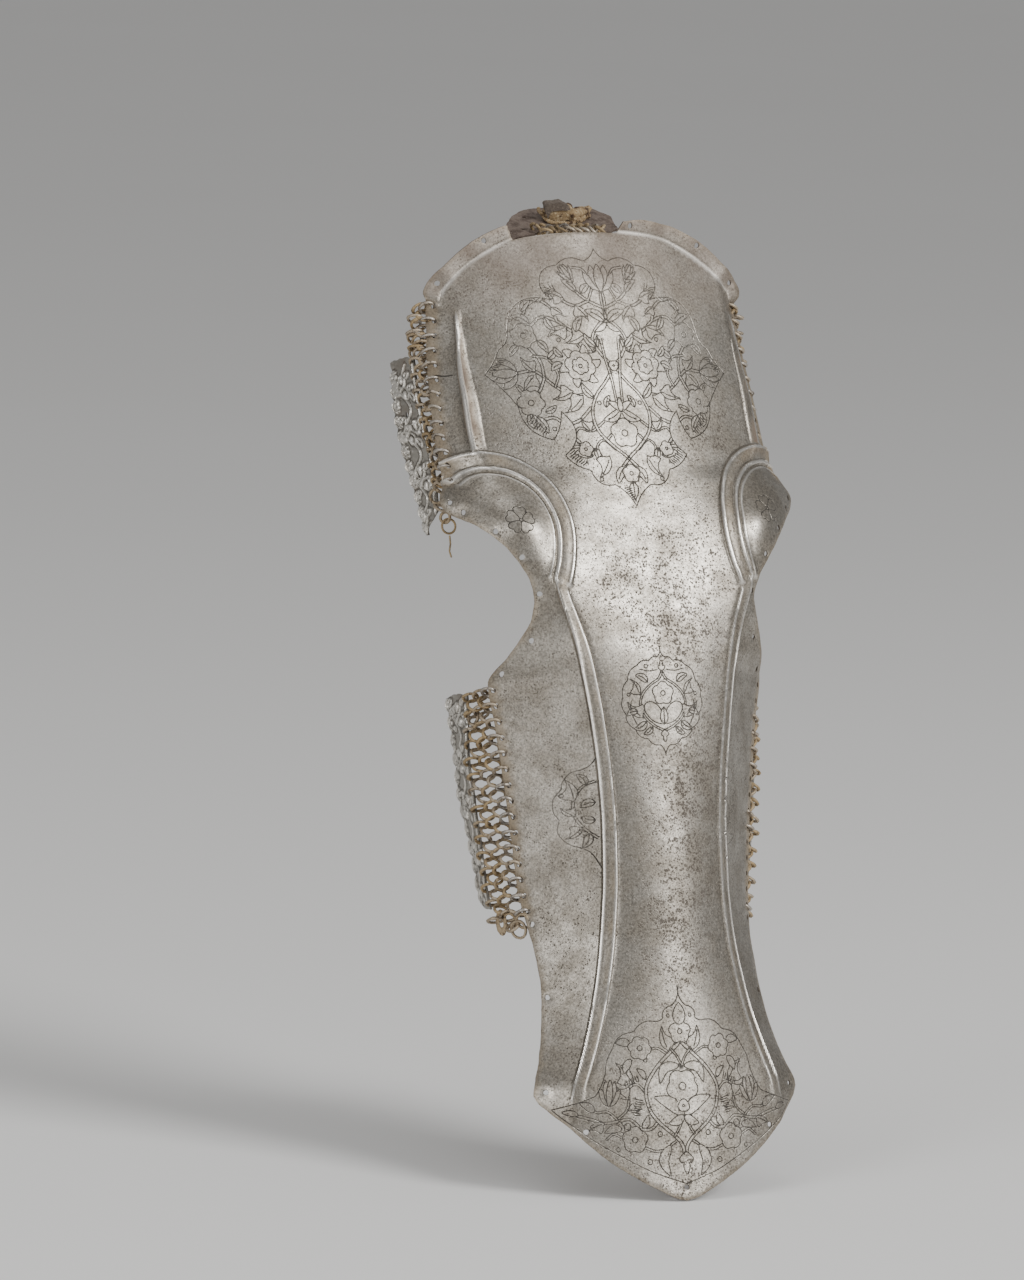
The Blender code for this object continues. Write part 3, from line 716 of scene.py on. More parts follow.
# The panel that fills the muzzle: a lobed top, a straight border at the foot and a pointed oval of stems.
MUZZLE = """
stem 18,49 22,45.5 28,45.5 35.5,51.5 43,51 52,50 61,53 74,57
stem 24,67 30,73 35.5,71 36,63 38,57 44,52 1.4
stem 44,52 50,57 57,57 61,62 1.4
stem 9,91 16,95 22,94 1.3
stem 4,38 8,36 13,32.5 20,31.5 27,34 1.4
stem 42,41 47,43 51,40 1.3
split_leaf 33,73 43,87 -1
split_leaf 36,64 45,74 1
split_leaf 37,58 28,58 -1
split_leaf 52,50 63,45 -1
lotus 49,60 47,77 6.4
leaf 58,57 67,63 2.4 1 0
leaf 28,46 24,54 2.2 1.2 0
leaf 43,51 39,43.5 2 1 0
leaf 41,46 52,44 2.4 1.4 0
leaf 10,35 10.5,15.5 3.2 4.5 0
leaf 33,89 38,80 2.4 0.8 0
leaf 33,98 42,99 2.6 1.2 0
leaf 68,55.5 77,58 1.8 0.6 0
ring 37.5,47.5 2
ring 24,25 1.7
ring 16.5,42 1.6
ring 44,33.5 1.4
ring 7.5,115 1.2
ring 24,88 1.3
rosette 27,95.5 7.6 6 0.2
rosette 33,39 8.4 5 0.4
split_leaf 8,93 12,109 1
stem 0,99 7,92.5 17,83 24.2,71 22.8,58 16.5,49 6,40 1.5,34 1,29 2
leaf 24.5,76 30,83 1.8 1 0
hatch 27,63 31,54 4,1
hatch 30,79 38,74 -1,-3.4
mirror
stem 0.5,53 -3,46 -7,40 1.3
stem 0.5,53 4,46 7,41 1.3
leaf 1.5,84 15,73 3 5 0
leaf -1.5,84 -15,73 3 -5 0
stem 0,84 -3,90 -6.5,94 1.3
stem 0,84 3,90 6.5,94 1.3
leaf 0.5,53 19.5,65 4 2 0
leaf 0.5,53 10.5,48 2.8 -1 0
leaf 0.5,53 -19.5,65 4 -2 0
leaf 0.5,53 -10.5,48 2.8 1 0
rosette 0,71 11 5 down
rosette 0.3,59 4.2 3 up
rosette 0,105 7.6 5 up
leaf 0,109 0,123 4.2 0 0
trefoil 0.5,31 7.6 over
enclose 0,130.8,0 5,121,-1.4 11,113.3,2.4 16,111.5,-0.4 29,107.5,2.2 32,105.5,-0.4 44,96,2.6 49.5,82,1.2 57,67,-0.8 \
82,60,-0.6 66,45,0.6 46,31.5,0.5 22,18.5,0.4 0,10.8,0.2
"""


def boss_flower(centre: Spot, radius: float, turn: float) -> list[Line]:
    """The five heart-shaped petals on an eye boss.

    Args:
        centre: the flower's middle.
        radius: to the tips of its petals.
        turn: which way the first points.

    Returns:
        The petals as closed lines.
    """
    art = Ornament(pitch=1.0)
    for k in range(5):
        art.stamp(HEART_PETAL, centre, radius, turn + math.tau * k / 5, art.pitch)
    return art.lines


# ---------------------------------------------------------------- the plate's form


@dataclass(frozen=True)
class Form:
    """The bent sheet of the face plate: where each point of it lies. Angles are in degrees."""

    lean: float = 12.0
    wall: float = 1.4
    mount_height: float = 520.0
    mount_gap: float = 0.1
    fold_round: float = 3.5
    boss: Pair = (83.0, 426.0)
    boss_reach: Pair = (18.0, 34.0)
    boss_soft: Pair = (4.5, 9.0)  # how far about a point the boss is averaged into a dome
    muzzle_corner: float = 71.0
    nose_top: float = 388.0
    brow_top: float = 567.0
    rib_fade: float = 15.0
    rib_side: float = 1.45  # the outer half of the nose rib lies on the steep side and looks narrower by this
    arch_foot: float = 376.0
    arch_top: float = 480.0
    arch_lift: Pair = (0.0, 3.0)  # how much higher the left and the right arch lie than drawn
    arch_lift_levels: tuple[float, float, float, float] = (395.0, 440.0, 480.0, 520.0)  # it grows and then goes
    brow_narrowing: float = 0.6
    ear_tilt: float = 0.12
    ear_corner_tilt: float = -0.25
    ear_round: float = 3.0
    ear_start: Pair = (565.0, 571.0)
    # height, centre back, fold out, fold back, edge out, edge back, bulge of the flank
    sections: Table = Table((
        (0, 0, 73, 11.5, 92, 25, 0), (40, 0, 72.5, 11, 92, 25, 0), (71, 0, 67, 8.5, 90.7, 24.6, 0),
        (85, 0, 61.8, 8.7, 85.8, 28, 0), (100, 0, 56.4, 9.5, 81.3, 31.5, 0), (120, 0, 50.5, 10.7, 77.4, 36, 0),
        (140, 0, 46, 11, 75.4, 40, 0), (160, 0, 42.6, 11.3, 75.6, 46, 0), (180, 0, 40.4, 11, 78, 52.5, 0),
        (200, 0, 39, 10, 80.4, 56.3, 0), (230, 0, 38.6, 8.8, 82.9, 56.5, 0), (260, 0, 40, 7.5, 85.9, 55.7, 0),
        (300, 0, 44.2, 6.4, 90.7, 55.3, 0), (327, 0.4, 48.3, 6.8, 94.6, 54.5, 0),
        (340, 1.5, 50.8, 7.5, 88.9, 38.5, 0), (352, 3.5, 53.5, 9, 83, 28, 0), (364, 6.2, 56.5, 10.5, 78, 21, 0.5),
        (376, 9.2, 60, 11, 76.4, 19.5, 1), (388, 12.3, 62.5, 11.5, 79.8, 17.5, 1.5),
        (400, 15.4, 64, 12.7, 87.3, 17.7, 2), (412, 18.5, 65, 14.5, 96.3, 23.3, 5),
        (424, 21.7, 66.5, 17, 107.9, 35.2, 10), (434, 24.3, 70, 21.5, 120.5, 50.5, 9.5),
        (440, 25.9, 73, 25, 122.3, 53, 7.5), (450, 28.5, 80, 32, 118, 57, 5), (462, 31.6, 92, 45, 114.3, 66, 1.5),
        (475, 35, 97.5, 53, 114.1, 71.8, 0), (505, 42.9, 97.3, 61, 112.8, 80.3, 0),
        (535, 50.8, 95.5, 70.5, 110.5, 88, 0), (567, 59.5, 93.5, 78, 107.5, 93, 0), (622, 76.5, 92, 96, 106, 111, 0)))
    # height and how far to the right of true the raised work lies on the left and on the right
    skew: Table = Table(((60, 0.8, 0.8), (200, 2, 2), (320, 2.2, 2.2), (350, 2.5, 3.5), (390, 1.5, 6), (410, 1.8, 6),
                         (440, 2, 6), (475, 0.5, 5), (520, 0, 4), (570, 0, 4)))
    # distance from the fold line (outwards, as if flat) and height of the nose rib
    rib: Table = Table(((-4.6, 0), (-3.9, -0.22), (-3.3, 0.35), (-2.7, 0.9), (-2, 1), (-0.8, 0.95), (1.6, 0.9),
                        (3.6, 1.15), (4.6, 2), (5.3, 2.05), (6, 1.2), (6.8, 0.15), (7.6, 0)))
    # distance from the arch (away from the eye) and height of the moulding over the eye
    arch: Table = Table(((-8.2, 0), (-7.2, 0.4), (-6.4, 0.05), (-5.5, -0.55), (-4.7, 0.3), (-3.9, 1.45), (-3.1, 1.65),
                         (-2.3, 1.2), (-1.5, 0.35), (-0.6, 0.8), (1.5, 1.55), (4.3, 2.2), (5.6, 2.75), (6.5, 2.7),
                         (7.5, 1.2), (8.6, 0.1), (9.6, 0)))
    # distance from the brow rib's crest (inwards) and its height
    brow: Table = Table(((-3.4, 0), (-2.3, 0.3), (-1.2, 1.3), (-0.4, 1.85), (0.4, 1.85), (1.5, 1.35), (3, 0.85),
                         (4.8, 0.42), (6.8, 0.08), (7.5, -0.32), (8.4, -0.08), (9.4, 0)))
    muzzle_edge: tuple = ((0, 0), (7.4, 2), (20.1, 8), (34.4, 16), (47.8, 25), (60, 35), (70.4, 45), (80.2, 55),
                          (88, 63.5))
    eye_arch: tuple = ((62.3, 388), (58.6, 401), (56.7, 417), (58.5, 432), (63.2, 444), (71, 453.5), (82, 460.5),
                       (97, 463.5), (108, 461), (115.5, 456))
    brow_rib: tuple = ((97.6, 468), (97.5, 490), (96.8, 520), (95.2, 540), (93.8, 562))
    ear_fold: tuple = ((99, 566), (97.5, 575), (88.6, 585), (75.2, 595), (57, 604.5), (45, 608), (30, 610), (16, 611))
    ear_edge: tuple = ((109.5, 571), (110.3, 576), (104.5, 585), (93, 595), (80, 605), (63, 613.5), (50, 617),
                       (36, 619), (24, 618))
    top_rim: tuple = ((61, 603), (48, 607.5), (34, 609.5), (17, 610.8), (0, 611))

    def edge(self, height: float, inset: float = 0.0) -> np.ndarray:
        """A point of the right side edge, or so far in from it, as out and height."""
        return np.array([self.sections.at(height)[0, 3] - inset, height])

    def sheet_back(self, spots: Line) -> np.ndarray:
        """How far back the plain bent sheet lies at each (out, height).

        Args:
            spots: where, as out and height.

        Returns:
            One number for each spot.
        """
        side = np.abs(spots[:, 0])
        centre_back, fold_out, fold_back, edge_out, edge_back, bulge = self.sections.at(spots[:, 1]).T
        front = centre_back + (fold_back - centre_back) * (side / fold_out) ** 2
        t = (side - fold_out) / (edge_out - fold_out)
        flank = fold_back + t * (edge_back - fold_back) - bulge * np.sin(math.pi * np.clip(t, 0.0, 1.0))
        return front + (flank - front) * eased(side - fold_out, -self.fold_round, self.fold_round)

    def domed_back(self, spots: Line) -> np.ndarray:
        """How far back the bent sheet lies with the boss over each eye rounded into a dome.

        Args:
            spots: where, as out and height.

        Returns:
            One number for each spot.
        """
        back = self.sheet_back(spots)
        away = np.hypot(np.abs(spots[:, 0]) - self.boss[0], spots[:, 1] - self.boss[1])
        near = np.flatnonzero(away < self.boss_reach[1])
        if len(near):
            turns = np.linspace(0.0, math.tau, 8, endpoint=False)
            steps = [(reach * math.cos(turn), reach * math.sin(turn)) for reach in self.boss_soft for turn in turns]
            soft = sum(self.sheet_back(spots[near] + step) for step in steps) / len(steps)
            back[near] += (soft - back[near]) * (1.0 - eased(away[near], *self.boss_reach))
        return back

    def base_back(self, spots: Line) -> np.ndarray:
        """How far back the sheet lies with its ear flanges turned up.

        Args:
            spots: where, as out and height.

        Returns:
            One number for each spot.
        """
        back = self.domed_back(spots)
        high = np.flatnonzero(spots[:, 1] >= self.ear_start[0])
        if not len(high):
            return back
        some = folded(spots[high])
        reach, foot = beside(curve_through(self.ear_fold, 4.0), some)
        beyond = np.maximum(-reach, 0.0)
        grown = eased(foot[:, 1], self.ear_start[1], self.ear_start[1] + 24.0)
        tilt = self.ear_corner_tilt + (self.ear_tilt - self.ear_corner_tilt) * grown
        flange = self.sheet_back(foot) - tilt * beyond
        share = eased(beyond, 0.0, self.ear_round) * eased(some[:, 1], *self.ear_start)
        back[high] += (flange - back[high]) * share
        return back

    def brow_taper(self, height: np.ndarray) -> np.ndarray:
        """How much narrower the brow rib has grown at each level on its way up."""
        return 1.0 - self.brow_narrowing * eased(height, self.brow_rib[1][1], self.brow_rib[-1][1] + 4.0)

    def straight(self, spots: Line, sign: float = -1.0) -> Line:
        """Spots moved from where the raised work lies to where it is drawn, or back with a sign of +1.

        Args:
            spots: the spots to move.
            sign: which way.

        Returns:
            The moved spots.
        """
        height, right = spots[:, 1], spots[:, 0] > 0.0
        start, full, last, end = self.arch_lift_levels
        up = np.where(right, self.arch_lift[1], self.arch_lift[0]) * eased(height, start, full)
        up *= 1.0 - eased(height, last, end)
        skew = self.skew.at(height)
        return spots + sign * np.stack([np.where(right, skew[:, 1], skew[:, 0]), up], axis=1)

    def relief(self, spots: Line) -> np.ndarray:
        """Height of the raised work at each (out, height): nose ribs, eye mouldings and brow ribs.

        Args:
            spots: where on the plate.

        Returns:
            How far each spot stands out from the bent sheet.
        """
        flat = folded(self.straight(spots))
        side, height = flat.T
        away = side - self.sections.at(height)[:, 1]
        away = away * np.where(away > 0.0, self.rib_side, 1.0)
        fade = eased(height, self.muzzle_corner - self.rib_fade, self.muzzle_corner + self.rib_fade)
        fade *= 1.0 - eased(height, self.nose_top - 6.0, self.nose_top + 4.0)
        raised = self.rib.at(away)[:, 0] * fade
        low, high = self.brow_rib[0][1], self.brow_rib[-1][1]
        brow_ends = (1.0 - eased(height, high - 12.0, high + 2.0)) * eased(height, low - 3.0, low + 5.0)
        for route, pitch, profile, narrowed, share, lowest, highest, inmost in (
                (self.eye_arch, 3.0, self.arch, np.ones(len(side)), eased(height, self.arch_foot, self.nose_top),
                 self.arch_foot, self.arch_top, 40.0),
                (self.brow_rib, 6.0, self.brow, self.brow_taper(height), brow_ends, low - 4.0, high + 8.0, 80.0)):
            near = np.flatnonzero((height > lowest) & (height < highest) & (side > inmost))
            if len(near):
                away, _ = beside(curve_through(route, pitch), flat[near])
                work = profile.at(away / narrowed[near])[:, 0] * share[near]
                raised[near] = np.where(work > 0.0, np.maximum(raised[near], work), raised[near] + work)
        return raised

    def facing(self, spots: Line, step: float = 0.5) -> np.ndarray:
        """The way the bent sheet faces at each spot, as unit vectors.

        Args:
            spots: where, as out and height.
            step: how far to each side its slope is felt.

        Returns:
            One row for each spot.
        """
        across = self.base_back(spots + (step, 0.0)) - self.base_back(spots - (step, 0.0))
        along = self.base_back(spots + (0.0, step)) - self.base_back(spots - (0.0, step))
        facing = np.stack([across / (2 * step), -np.ones(len(spots)), along / (2 * step)], axis=1)
        return facing / np.linalg.norm(facing, axis=1)[:, None]

    def lifted(self, spots: Line, lift: np.ndarray | float = 0.0) -> np.ndarray:
        """Points of the raised sheet in the plate's frame, so far proud of its outer face.

        Args:
            spots: where on the plate, as out and height.
            lift: how far out from the face each point stands.

        Returns:
            One row of out, back and height for each spot.
        """
        base = np.stack([spots[:, 0], self.base_back(spots), spots[:, 1]], axis=1)
        return base + self.facing(spots) * (self.relief(spots) + lift)[:, None]

    def leaned(self, points: np.ndarray) -> np.ndarray:
        """Points or directions of the plate's frame turned back by the lean.

        Args:
            points: one row for each, or one alone.

        Returns:
            The turned points.
        """
        s, c = math.sin(math.radians(self.lean)), math.cos(math.radians(self.lean))
        out, back, height = np.moveaxis(np.asarray(points, float), -1, 0)
        return np.stack([out, back * c + height * s, height * c - back * s], axis=-1)

    def place(self, points: np.ndarray) -> np.ndarray:
        """Points of the plate's frame in the world, in metres."""
        mount_back = float(self.sheet_back(np.array([[0.0, self.mount_height]]))[0]) + self.wall + self.mount_gap
        return (self.leaned(points) - self.leaned(np.array([0.0, mount_back, self.mount_height]))) * MM


FORM = Form()


# ---------------------------------------------------------------- finishes

SMOOTH = {"interpolation_type": "SMOOTHSTEP"}


def linear(hexes: str) -> tuple[float, float, float, float]:
    """An sRGB hex colour as linear light."""
    parts = [int(hexes[k:k + 2], 16) / 255 for k in (1, 3, 5)]
    return (*(c / 12.92 if c <= 0.04045 else ((c + 0.055) / 1.055) ** 2.4 for c in parts), 1.0)


def per_mm(size: float) -> float:
    """The scale of a texture whose features are the given size in millimetres."""
    return 1000.0 / size


def node(tree: Tree, kind: str, inputs: dict | tuple = (), out: int | str = 0,
         **settings: object) -> Socket | None:
    """Add one node.

    Args:
        tree: the material's node tree.
        kind: the node's type, without its ShaderNode.
        inputs: a value or a socket to link for each input, in order, or by name or number.
        out: the output that is wanted.
        settings: the node's own settings.

    Returns:
        That output, or None of a node without any.
    """
    new = tree.nodes.new("ShaderNode" + kind)
    for name, value in settings.items():
        setattr(new, name, value)
    for key, value in inputs.items() if isinstance(inputs, dict) else enumerate(inputs):
        if isinstance(value, Socket):
            tree.links.new(value, new.inputs[key])
        else:
            new.inputs[key].default_value = value
    return new.outputs[out] if new.outputs else None


def sources(tree: Tree, noises: Sequence[Triple], attributes: Sequence[str] = ()) -> list[Socket]:
    """What a finish varies by.

    Args:
        tree: the material's node tree.
        noises: for each noise, the size of its lumps in millimetres, its detail and its roughness.
        attributes: the point attributes to read.

    Returns:
        The noises' values and then the attributes'.
    """
    place = node(tree, "TexCoord", out="Object")
    found = [node(tree, "TexNoise", {"Vector": place, "Scale": per_mm(size), "Detail": detail, "Roughness": rough},
                  "Fac") for size, detail, rough in noises]
    return found + [node(tree, "Attribute", out="Fac", attribute_name=name) for name in attributes]


def layered(tree: Tree, ground: str | Socket, *layers: tuple[Socket, str | Socket]) -> Socket:
    """Colours laid over each other.

    Args:
        tree: the material's node tree.
        ground: the lowest colour, as hex or a socket.
        layers: how much of each shows and its colour, in order.

    Returns:
        The colour seen.
    """
    for share, over in layers:
        pair = [linear(colour) if isinstance(colour, str) else colour for colour in (ground, over)]
        ground = node(tree, "Mix", {0: share, 6: pair[0], 7: pair[1]}, 2, data_type="RGBA")
    return ground


@dataclass(frozen=True)
class Finish:
    """A real material and how its surface was made; each kind below builds its own nodes."""

    name: str

    def build(self) -> bpy.types.Material:
        """Make the material.

        Returns:
            The material, with its nodes linked.
        """
        material = bpy.data.materials.new(self.name)
        material.use_nodes = True
        tree = material.node_tree
        tree.nodes.clear()
        node(tree, "OutputMaterial", {"Surface": node(tree, "BsdfPrincipled", self.dress(tree))})
        return material

    def dress(self, tree: Tree) -> dict:
        """The shader's colour, gloss and relief, by input.

        Args:
            tree: the material's node tree.

        Returns:
            A value or a socket for each input by name.
        """
        raise NotImplementedError


@dataclass(frozen=True)
class BrightSteel(Finish):
    """Forged plate, planished, once polished bright and now old.

    The eye sees warm grey metal clouded in soft patches, fine brown pits in clusters and dirt in the cuts. Its
    crests are lighter, partly from wear and partly as a painted highlight that also runs along the ear fold, and
    painted shade darkens its creases, the top of the brow and the slope inside each brow rib. The side that was
    never polished has a brown skin.
    """

    name: str = "old_polished_forged_steel"
    pale: str = "#B1ABA1"
    warm: str = "#918A7F"
    # bare metal, also the colour of the painted highlight on the crests and along the ear fold
    bare_and_highlight: str = "#E2DED7"
    # dark dirt about the pits, also the colour of the painted shade in the creases
    dark: str = "#4B443C"
    pit: str = "#3E352D"
    grime: str = "#1E1A17"
    # tan rust and oxide, also the colour of the painted shade on the slope inside each brow rib
    tan: str = "#948062"
    # the brown of the unpolished side, also the colour of the painted shade at the top of the brow and on the brow
    # rib's slope
    back: str = "#6F6156"

    def dress(self, tree: Tree) -> dict:
        """Cloud the metal in patches, scatter its pits and fill its cuts.

        Args:
            tree: the material's node tree.

        Returns:
            The shader's inputs by name.
        """
        # soft clouds of tarnish 26 mm across, corroded grains, flocks of pits and their ragged edges
        clouds, grains, flocks, ragged, cut, crest, edge, pitted, inner = sources(
            tree, ((26, 7, 0.66), (1.4, 4, 0.78), (9, 4, 0.62), (1.1, 3, 0.7)),
            ("cut", "crest", "edge", "pitted", "inner"))
        cloud = node(tree, "MapRange", (clouds, 0.36, 0.66), **SMOOTH)
        grain = node(tree, "MapRange", (grains, 0.36, 0.64, 0.34, 1.3))
        metal = node(tree, "Mix", {0: 0.75, 6: layered(tree, self.warm, (cloud, self.pale)), 7: grain}, 2,
                     data_type="RGBA", blend_type="MULTIPLY")
        # pits of 1 to 3 mm that crowd in flocks about 10 mm wide, each flock in a faint dark halo
        flock = node(tree, "Math", (flocks, pitted), operation="ADD")
        place = node(tree, "TexCoord", out="Object")
        astray = node(tree, "VectorMath", (ragged.node.outputs["Color"], (MM,) * 3, place), operation="MULTIPLY_ADD")
        far = node(tree, "TexVoronoi", {"Vector": astray, "Scale": per_mm(1.3)}, "Distance")
        reach = node(tree, "MapRange", (flock, 0.36, 0.92, 0.24, 1.12))
        over = node(tree, "Math", (far.node.outputs["Color"], reach), operation="MULTIPLY")
        over = node(tree, "Math", (over, far), operation="SUBTRACT")
        marks = node(tree, "MapRange", (over, -0.1, 0.26, 0, 0.68), **SMOOTH)
        halo = node(tree, "MapRange", (flock, 0.55, 0.95, 0, 0.3), **SMOOTH)
        # tan rust creeps in from the margins, in 1 mm fingers, and tan oxide lies on the raised work, laid thicker as
        # painted shade on the slope inside each brow rib
        fingers = node(tree, "MapRange", (grains, 0.3, 0.7, 0.5, 1.2))
        margin = node(tree, "Math", (edge, fingers), operation="MULTIPLY", use_clamp=True)
        # bright metal on the crests, partly worn and partly a painted highlight, also along the ear fold; painted shade
        # in the creases; dirt in the cuts
        rubbed_and_highlight = node(tree, "MapRange", (crest, 0.1, 1, 0, 0.75))
        # the creases of the raised work take the dark colour: painted shade
        hollow = node(tree, "MapRange", (crest, -0.1, -1, 0, 0.5))
        filled = node(tree, "MapRange", (cut, 0.05, 0.55, 0, 0.84))
        # the inner attribute lays the unpolished brown and, with it, painted shade at the top of the brow and on the
        # brow rib's slope
        colour = layered(tree, metal, (halo, self.dark), (marks, self.pit), (margin, self.tan), (inner, self.back),
                         (rubbed_and_highlight, self.bare_and_highlight), (hollow, self.dark), (filled, self.grime))
        # corroded spots scatter the light; the crests, worn and painted as a highlight, mirror it
        dull = filled
        for spoiled in (marks, margin, inner):
            dull = node(tree, "Math", (dull, spoiled), operation="MAXIMUM")
        gloss = node(tree, "MapRange", (clouds, 0.35, 0.65, 0.46, 0.33))
        gloss = node(tree, "Mix", {0: rubbed_and_highlight, 2: gloss, 3: 0.28})
        lumps = node(tree, "Math", (marks, -1), operation="MULTIPLY")
        fine = node(tree, "Math", (grains, 0.5, lumps), operation="MULTIPLY_ADD")
        return {"Base Color": colour, "Roughness": node(tree, "Mix", {0: dull, 2: gloss, 3: 0.75}),
                "Metallic": node(tree, "MapRange", (dull, 0, 1, 1, 0.35)),
                "Normal": node(tree, "Bump", {"Height": fine, "Strength": 0.4, "Distance": 0.0002})}


@dataclass(frozen=True)
class EmbossedSteel(Finish):
    """Thin steel sheet hammered up from behind and chased, never polished again.

    The eye sees grey relief with pale worn tops and nearly black hollows between them.
    """

    name: str = "chased_embossed_steel"
    top: str = "#DAD6CE"
    body: str = "#A5A199"
    hollow: str = "#4C463F"
    rust: str = "#7A6450"

    def dress(self, tree: Tree) -> dict:
        """Darken the hollows by the height of the relief and rub its tops bright.

        Args:
            tree: the material's node tree.

        Returns:
            The shader's inputs by name.
        """
        grains, clouds, relief, worn = sources(tree, ((1.2, 3, 0.7), (14, 4, 0.5)), ("relief", "worn"))
        uneven = node(tree, "Math", (grains, 0.6, relief), operation="MULTIPLY_ADD")
        low = node(tree, "MapRange", (uneven, 0.14, 0.66), **SMOOTH)
        high = node(tree, "MapRange", (uneven, 0.72, 1.2), **SMOOTH)
        rusty = node(tree, "MapRange", (clouds, 0.55, 0.75, 0, 0.35))
        return {"Base Color": layered(tree, self.hollow, (low, self.body), (high, self.top), (rusty, self.rust),
                                      (worn, self.hollow)),
                "Roughness": node(tree, "MapRange", (low, 0, 1, 0.8, 0.42)),
                "Metallic": node(tree, "MapRange", (low, 0, 1, 0.5, 1)),
                "Normal": node(tree, "Bump", {"Height": grains, "Strength": 0.4, "Distance": 0.0003})}


@dataclass(frozen=True)
class RingIron(Finish):
    """Drawn iron wire, hammered flat at the joint and long oxidised.

    The eye sees tan brown rings with grey metal where they rub, each a little different from the next.
    """

    name: str = "oxidised_iron_wire"
    tan: str = "#A8926F"
    dark: str = "#3A2C20"
    grey: str = "#B0AAA2"

    def dress(self, tree: Tree) -> dict:
        """Mix tan oxide and grey metal by the ring, with dark dirt in patches.

        Args:
            tree: the material's node tree.

        Returns:
            The shader's inputs by name.
        """
        patches, tone = sources(tree, ((3.2, 4, 0.7),), ("tone",))
        dirt = node(tree, "MapRange", (patches, 0.52, 0.66), **SMOOTH)
        sooty = node(tree, "MapRange", (tone, 0, -1, 0, 0.6))
        dirty = node(tree, "Math", (dirt, 0.8, sooty), operation="MULTIPLY_ADD", use_clamp=True)
        return {"Base Color": layered(tree, self.tan, (tone, self.grey), (dirty, self.dark)),
                "Metallic": node(tree, "MapRange", (tone, 0, 1, 0.35, 0.9)),
                "Roughness": node(tree, "MapRange", (tone, 0, 1, 0.62, 0.42)),
                "Normal": node(tree, "Bump", {"Height": patches, "Strength": 0.5, "Distance": 0.0004})}


@dataclass(frozen=True)
class BrownIron(Finish):
    """Forged iron sheet under a thick brown oxide.

    The eye sees dull chocolate brown with darker scale and a little grey metal on worn edges.
    """

    name: str = "brown_oxidised_iron"
    brown: str = "#7C6E64"
    scale: str = "#594C44"
    grey: str = "#9C9188"

    def dress(self, tree: Tree) -> dict:
        """Break the brown with scale and bared metal.

        Args:
            tree: the material's node tree.

        Returns:
            The shader's inputs by name.
        """
        patches, grains = sources(tree, ((9, 6, 0.68), (1.4, 3, 0.7)))
        scaled = node(tree, "MapRange", (patches, 0.44, 0.62), **SMOOTH)
        bared = node(tree, "MapRange", (grains, 0.56, 0.72, 0, 0.7))
        return {"Base Color": layered(tree, self.brown, (scaled, self.scale), (bared, self.grey)),
                "Metallic": 0.55, "Roughness": node(tree, "MapRange", (patches, 0.3, 0.7, 0.5, 0.85)),
                "Normal": node(tree, "Bump", {"Height": grains, "Strength": 0.6, "Distance": 0.0005})}


@dataclass(frozen=True)
class RustCrust(Finish):
    """Iron eaten away to a crumbling crust of rust and soil.

    The eye sees matt ochre and buff grains with dark holes between them.
    """

    name: str = "crumbling_rust_crust"
    ochre: str = "#927B5B"
    buff: str = "#C6B593"
    dark: str = "#4A3626"
    flake: str = "#5E544B"
    bared: str = "#786D62"

    def dress(self, tree: Tree) -> dict:
        """Speckle buff and dark grains over the ochre.

        Args:
            tree: the material's node tree.

        Returns:
            The shader's inputs by name.
        """
        grains, lumps, capped = sources(tree, ((1.5, 5, 0.75), (6, 4, 0.5)), ("capped",))
        pale = node(tree, "MapRange", (grains, 0.5, 0.66), **SMOOTH)
        deep = node(tree, "MapRange", (lumps, 0.47, 0.36), **SMOOTH)
        iron = layered(tree, self.flake, (pale, self.bared))
        bump = node(tree, "Bump", {"Height": grains, "Strength": 0.9, "Distance": 0.0008})
        return {"Base Color": layered(tree, self.ochre, (pale, self.buff), (deep, self.dark), (capped, iron)),
                "Roughness": 0.92, "Normal": bump}


@dataclass(frozen=True)
class StudioFloor(Finish):
    """A seamless sheet of matt pale grey paper."""

    name: str = "matt_pale_paper"
    grey: str = "#EBEAE8"
    white: str = "#FFFFFF"

    def dress(self, tree: Tree) -> dict:
        """One even matt tone, with the faint unevenness of paper."""
        tone = node(tree, "MapRange", (sources(tree, ((900, 2, 0.5),))[0], 0.3, 0.7, 0, 0.06))
        return {"Base Color": layered(tree, self.grey, (tone, self.white)), "Roughness": 0.9}


# ---------------------------------------------------------------- putting a piece in the scene


@dataclass
class Piece:
    """A finished mesh, in millimetres of the plate's frame, and how it is dressed."""

    name: str
    bm: Mesh
    slot: str  # the record's material slot; not used
    stands_for: Sequence[str]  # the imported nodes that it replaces
    sharp: float = 32.0  # the angle in degrees past which an edge is shaded sharp
    values: dict[str, np.ndarray] = field(default_factory=dict)  # point attributes for its finish, for each vertex
    flat: np.ndarray | None = None  # for each vertex, whether the faces on it are cut crisp and shaded flat

    def place(self, material: bpy.types.Material) -> None:
        """Put it in the scene as one piece of the object.

        Args:
            material: its finish.
        """
        mesh = bpy.data.meshes.new(self.name)
        self.bm.to_mesh(mesh)
        self.bm.free()
        points = np.zeros(len(mesh.vertices) * 3)
        mesh.vertices.foreach_get("co", points)
        mesh.vertices.foreach_set("co", FORM.place(points.reshape(-1, 3)).ravel())
        for label, numbers in self.values.items():
            mesh.attributes.new(label, "FLOAT", "POINT").data.foreach_set("value", np.asarray(numbers, np.float32))
        mesh.materials.append(material)
        mesh.shade_smooth()
        mesh.set_sharp_from_angle(angle=math.radians(self.sharp))
        if self.flat is not None:
            crisp = [self.flat[list(face.vertices)].any() for face in mesh.polygons]
            mesh.polygons.foreach_set("use_smooth", np.logical_not(crisp))
        mesh.update()
        piece = bpy.data.objects.new(self.name, mesh)
        bpy.context.scene.collection.objects.link(piece)
        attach(piece, "root")
        if self.stands_for:
            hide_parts(*self.stands_for)
        LOG.info("%s: %d triangles", self.name, sum(len(face.vertices) - 2 for face in mesh.polygons))


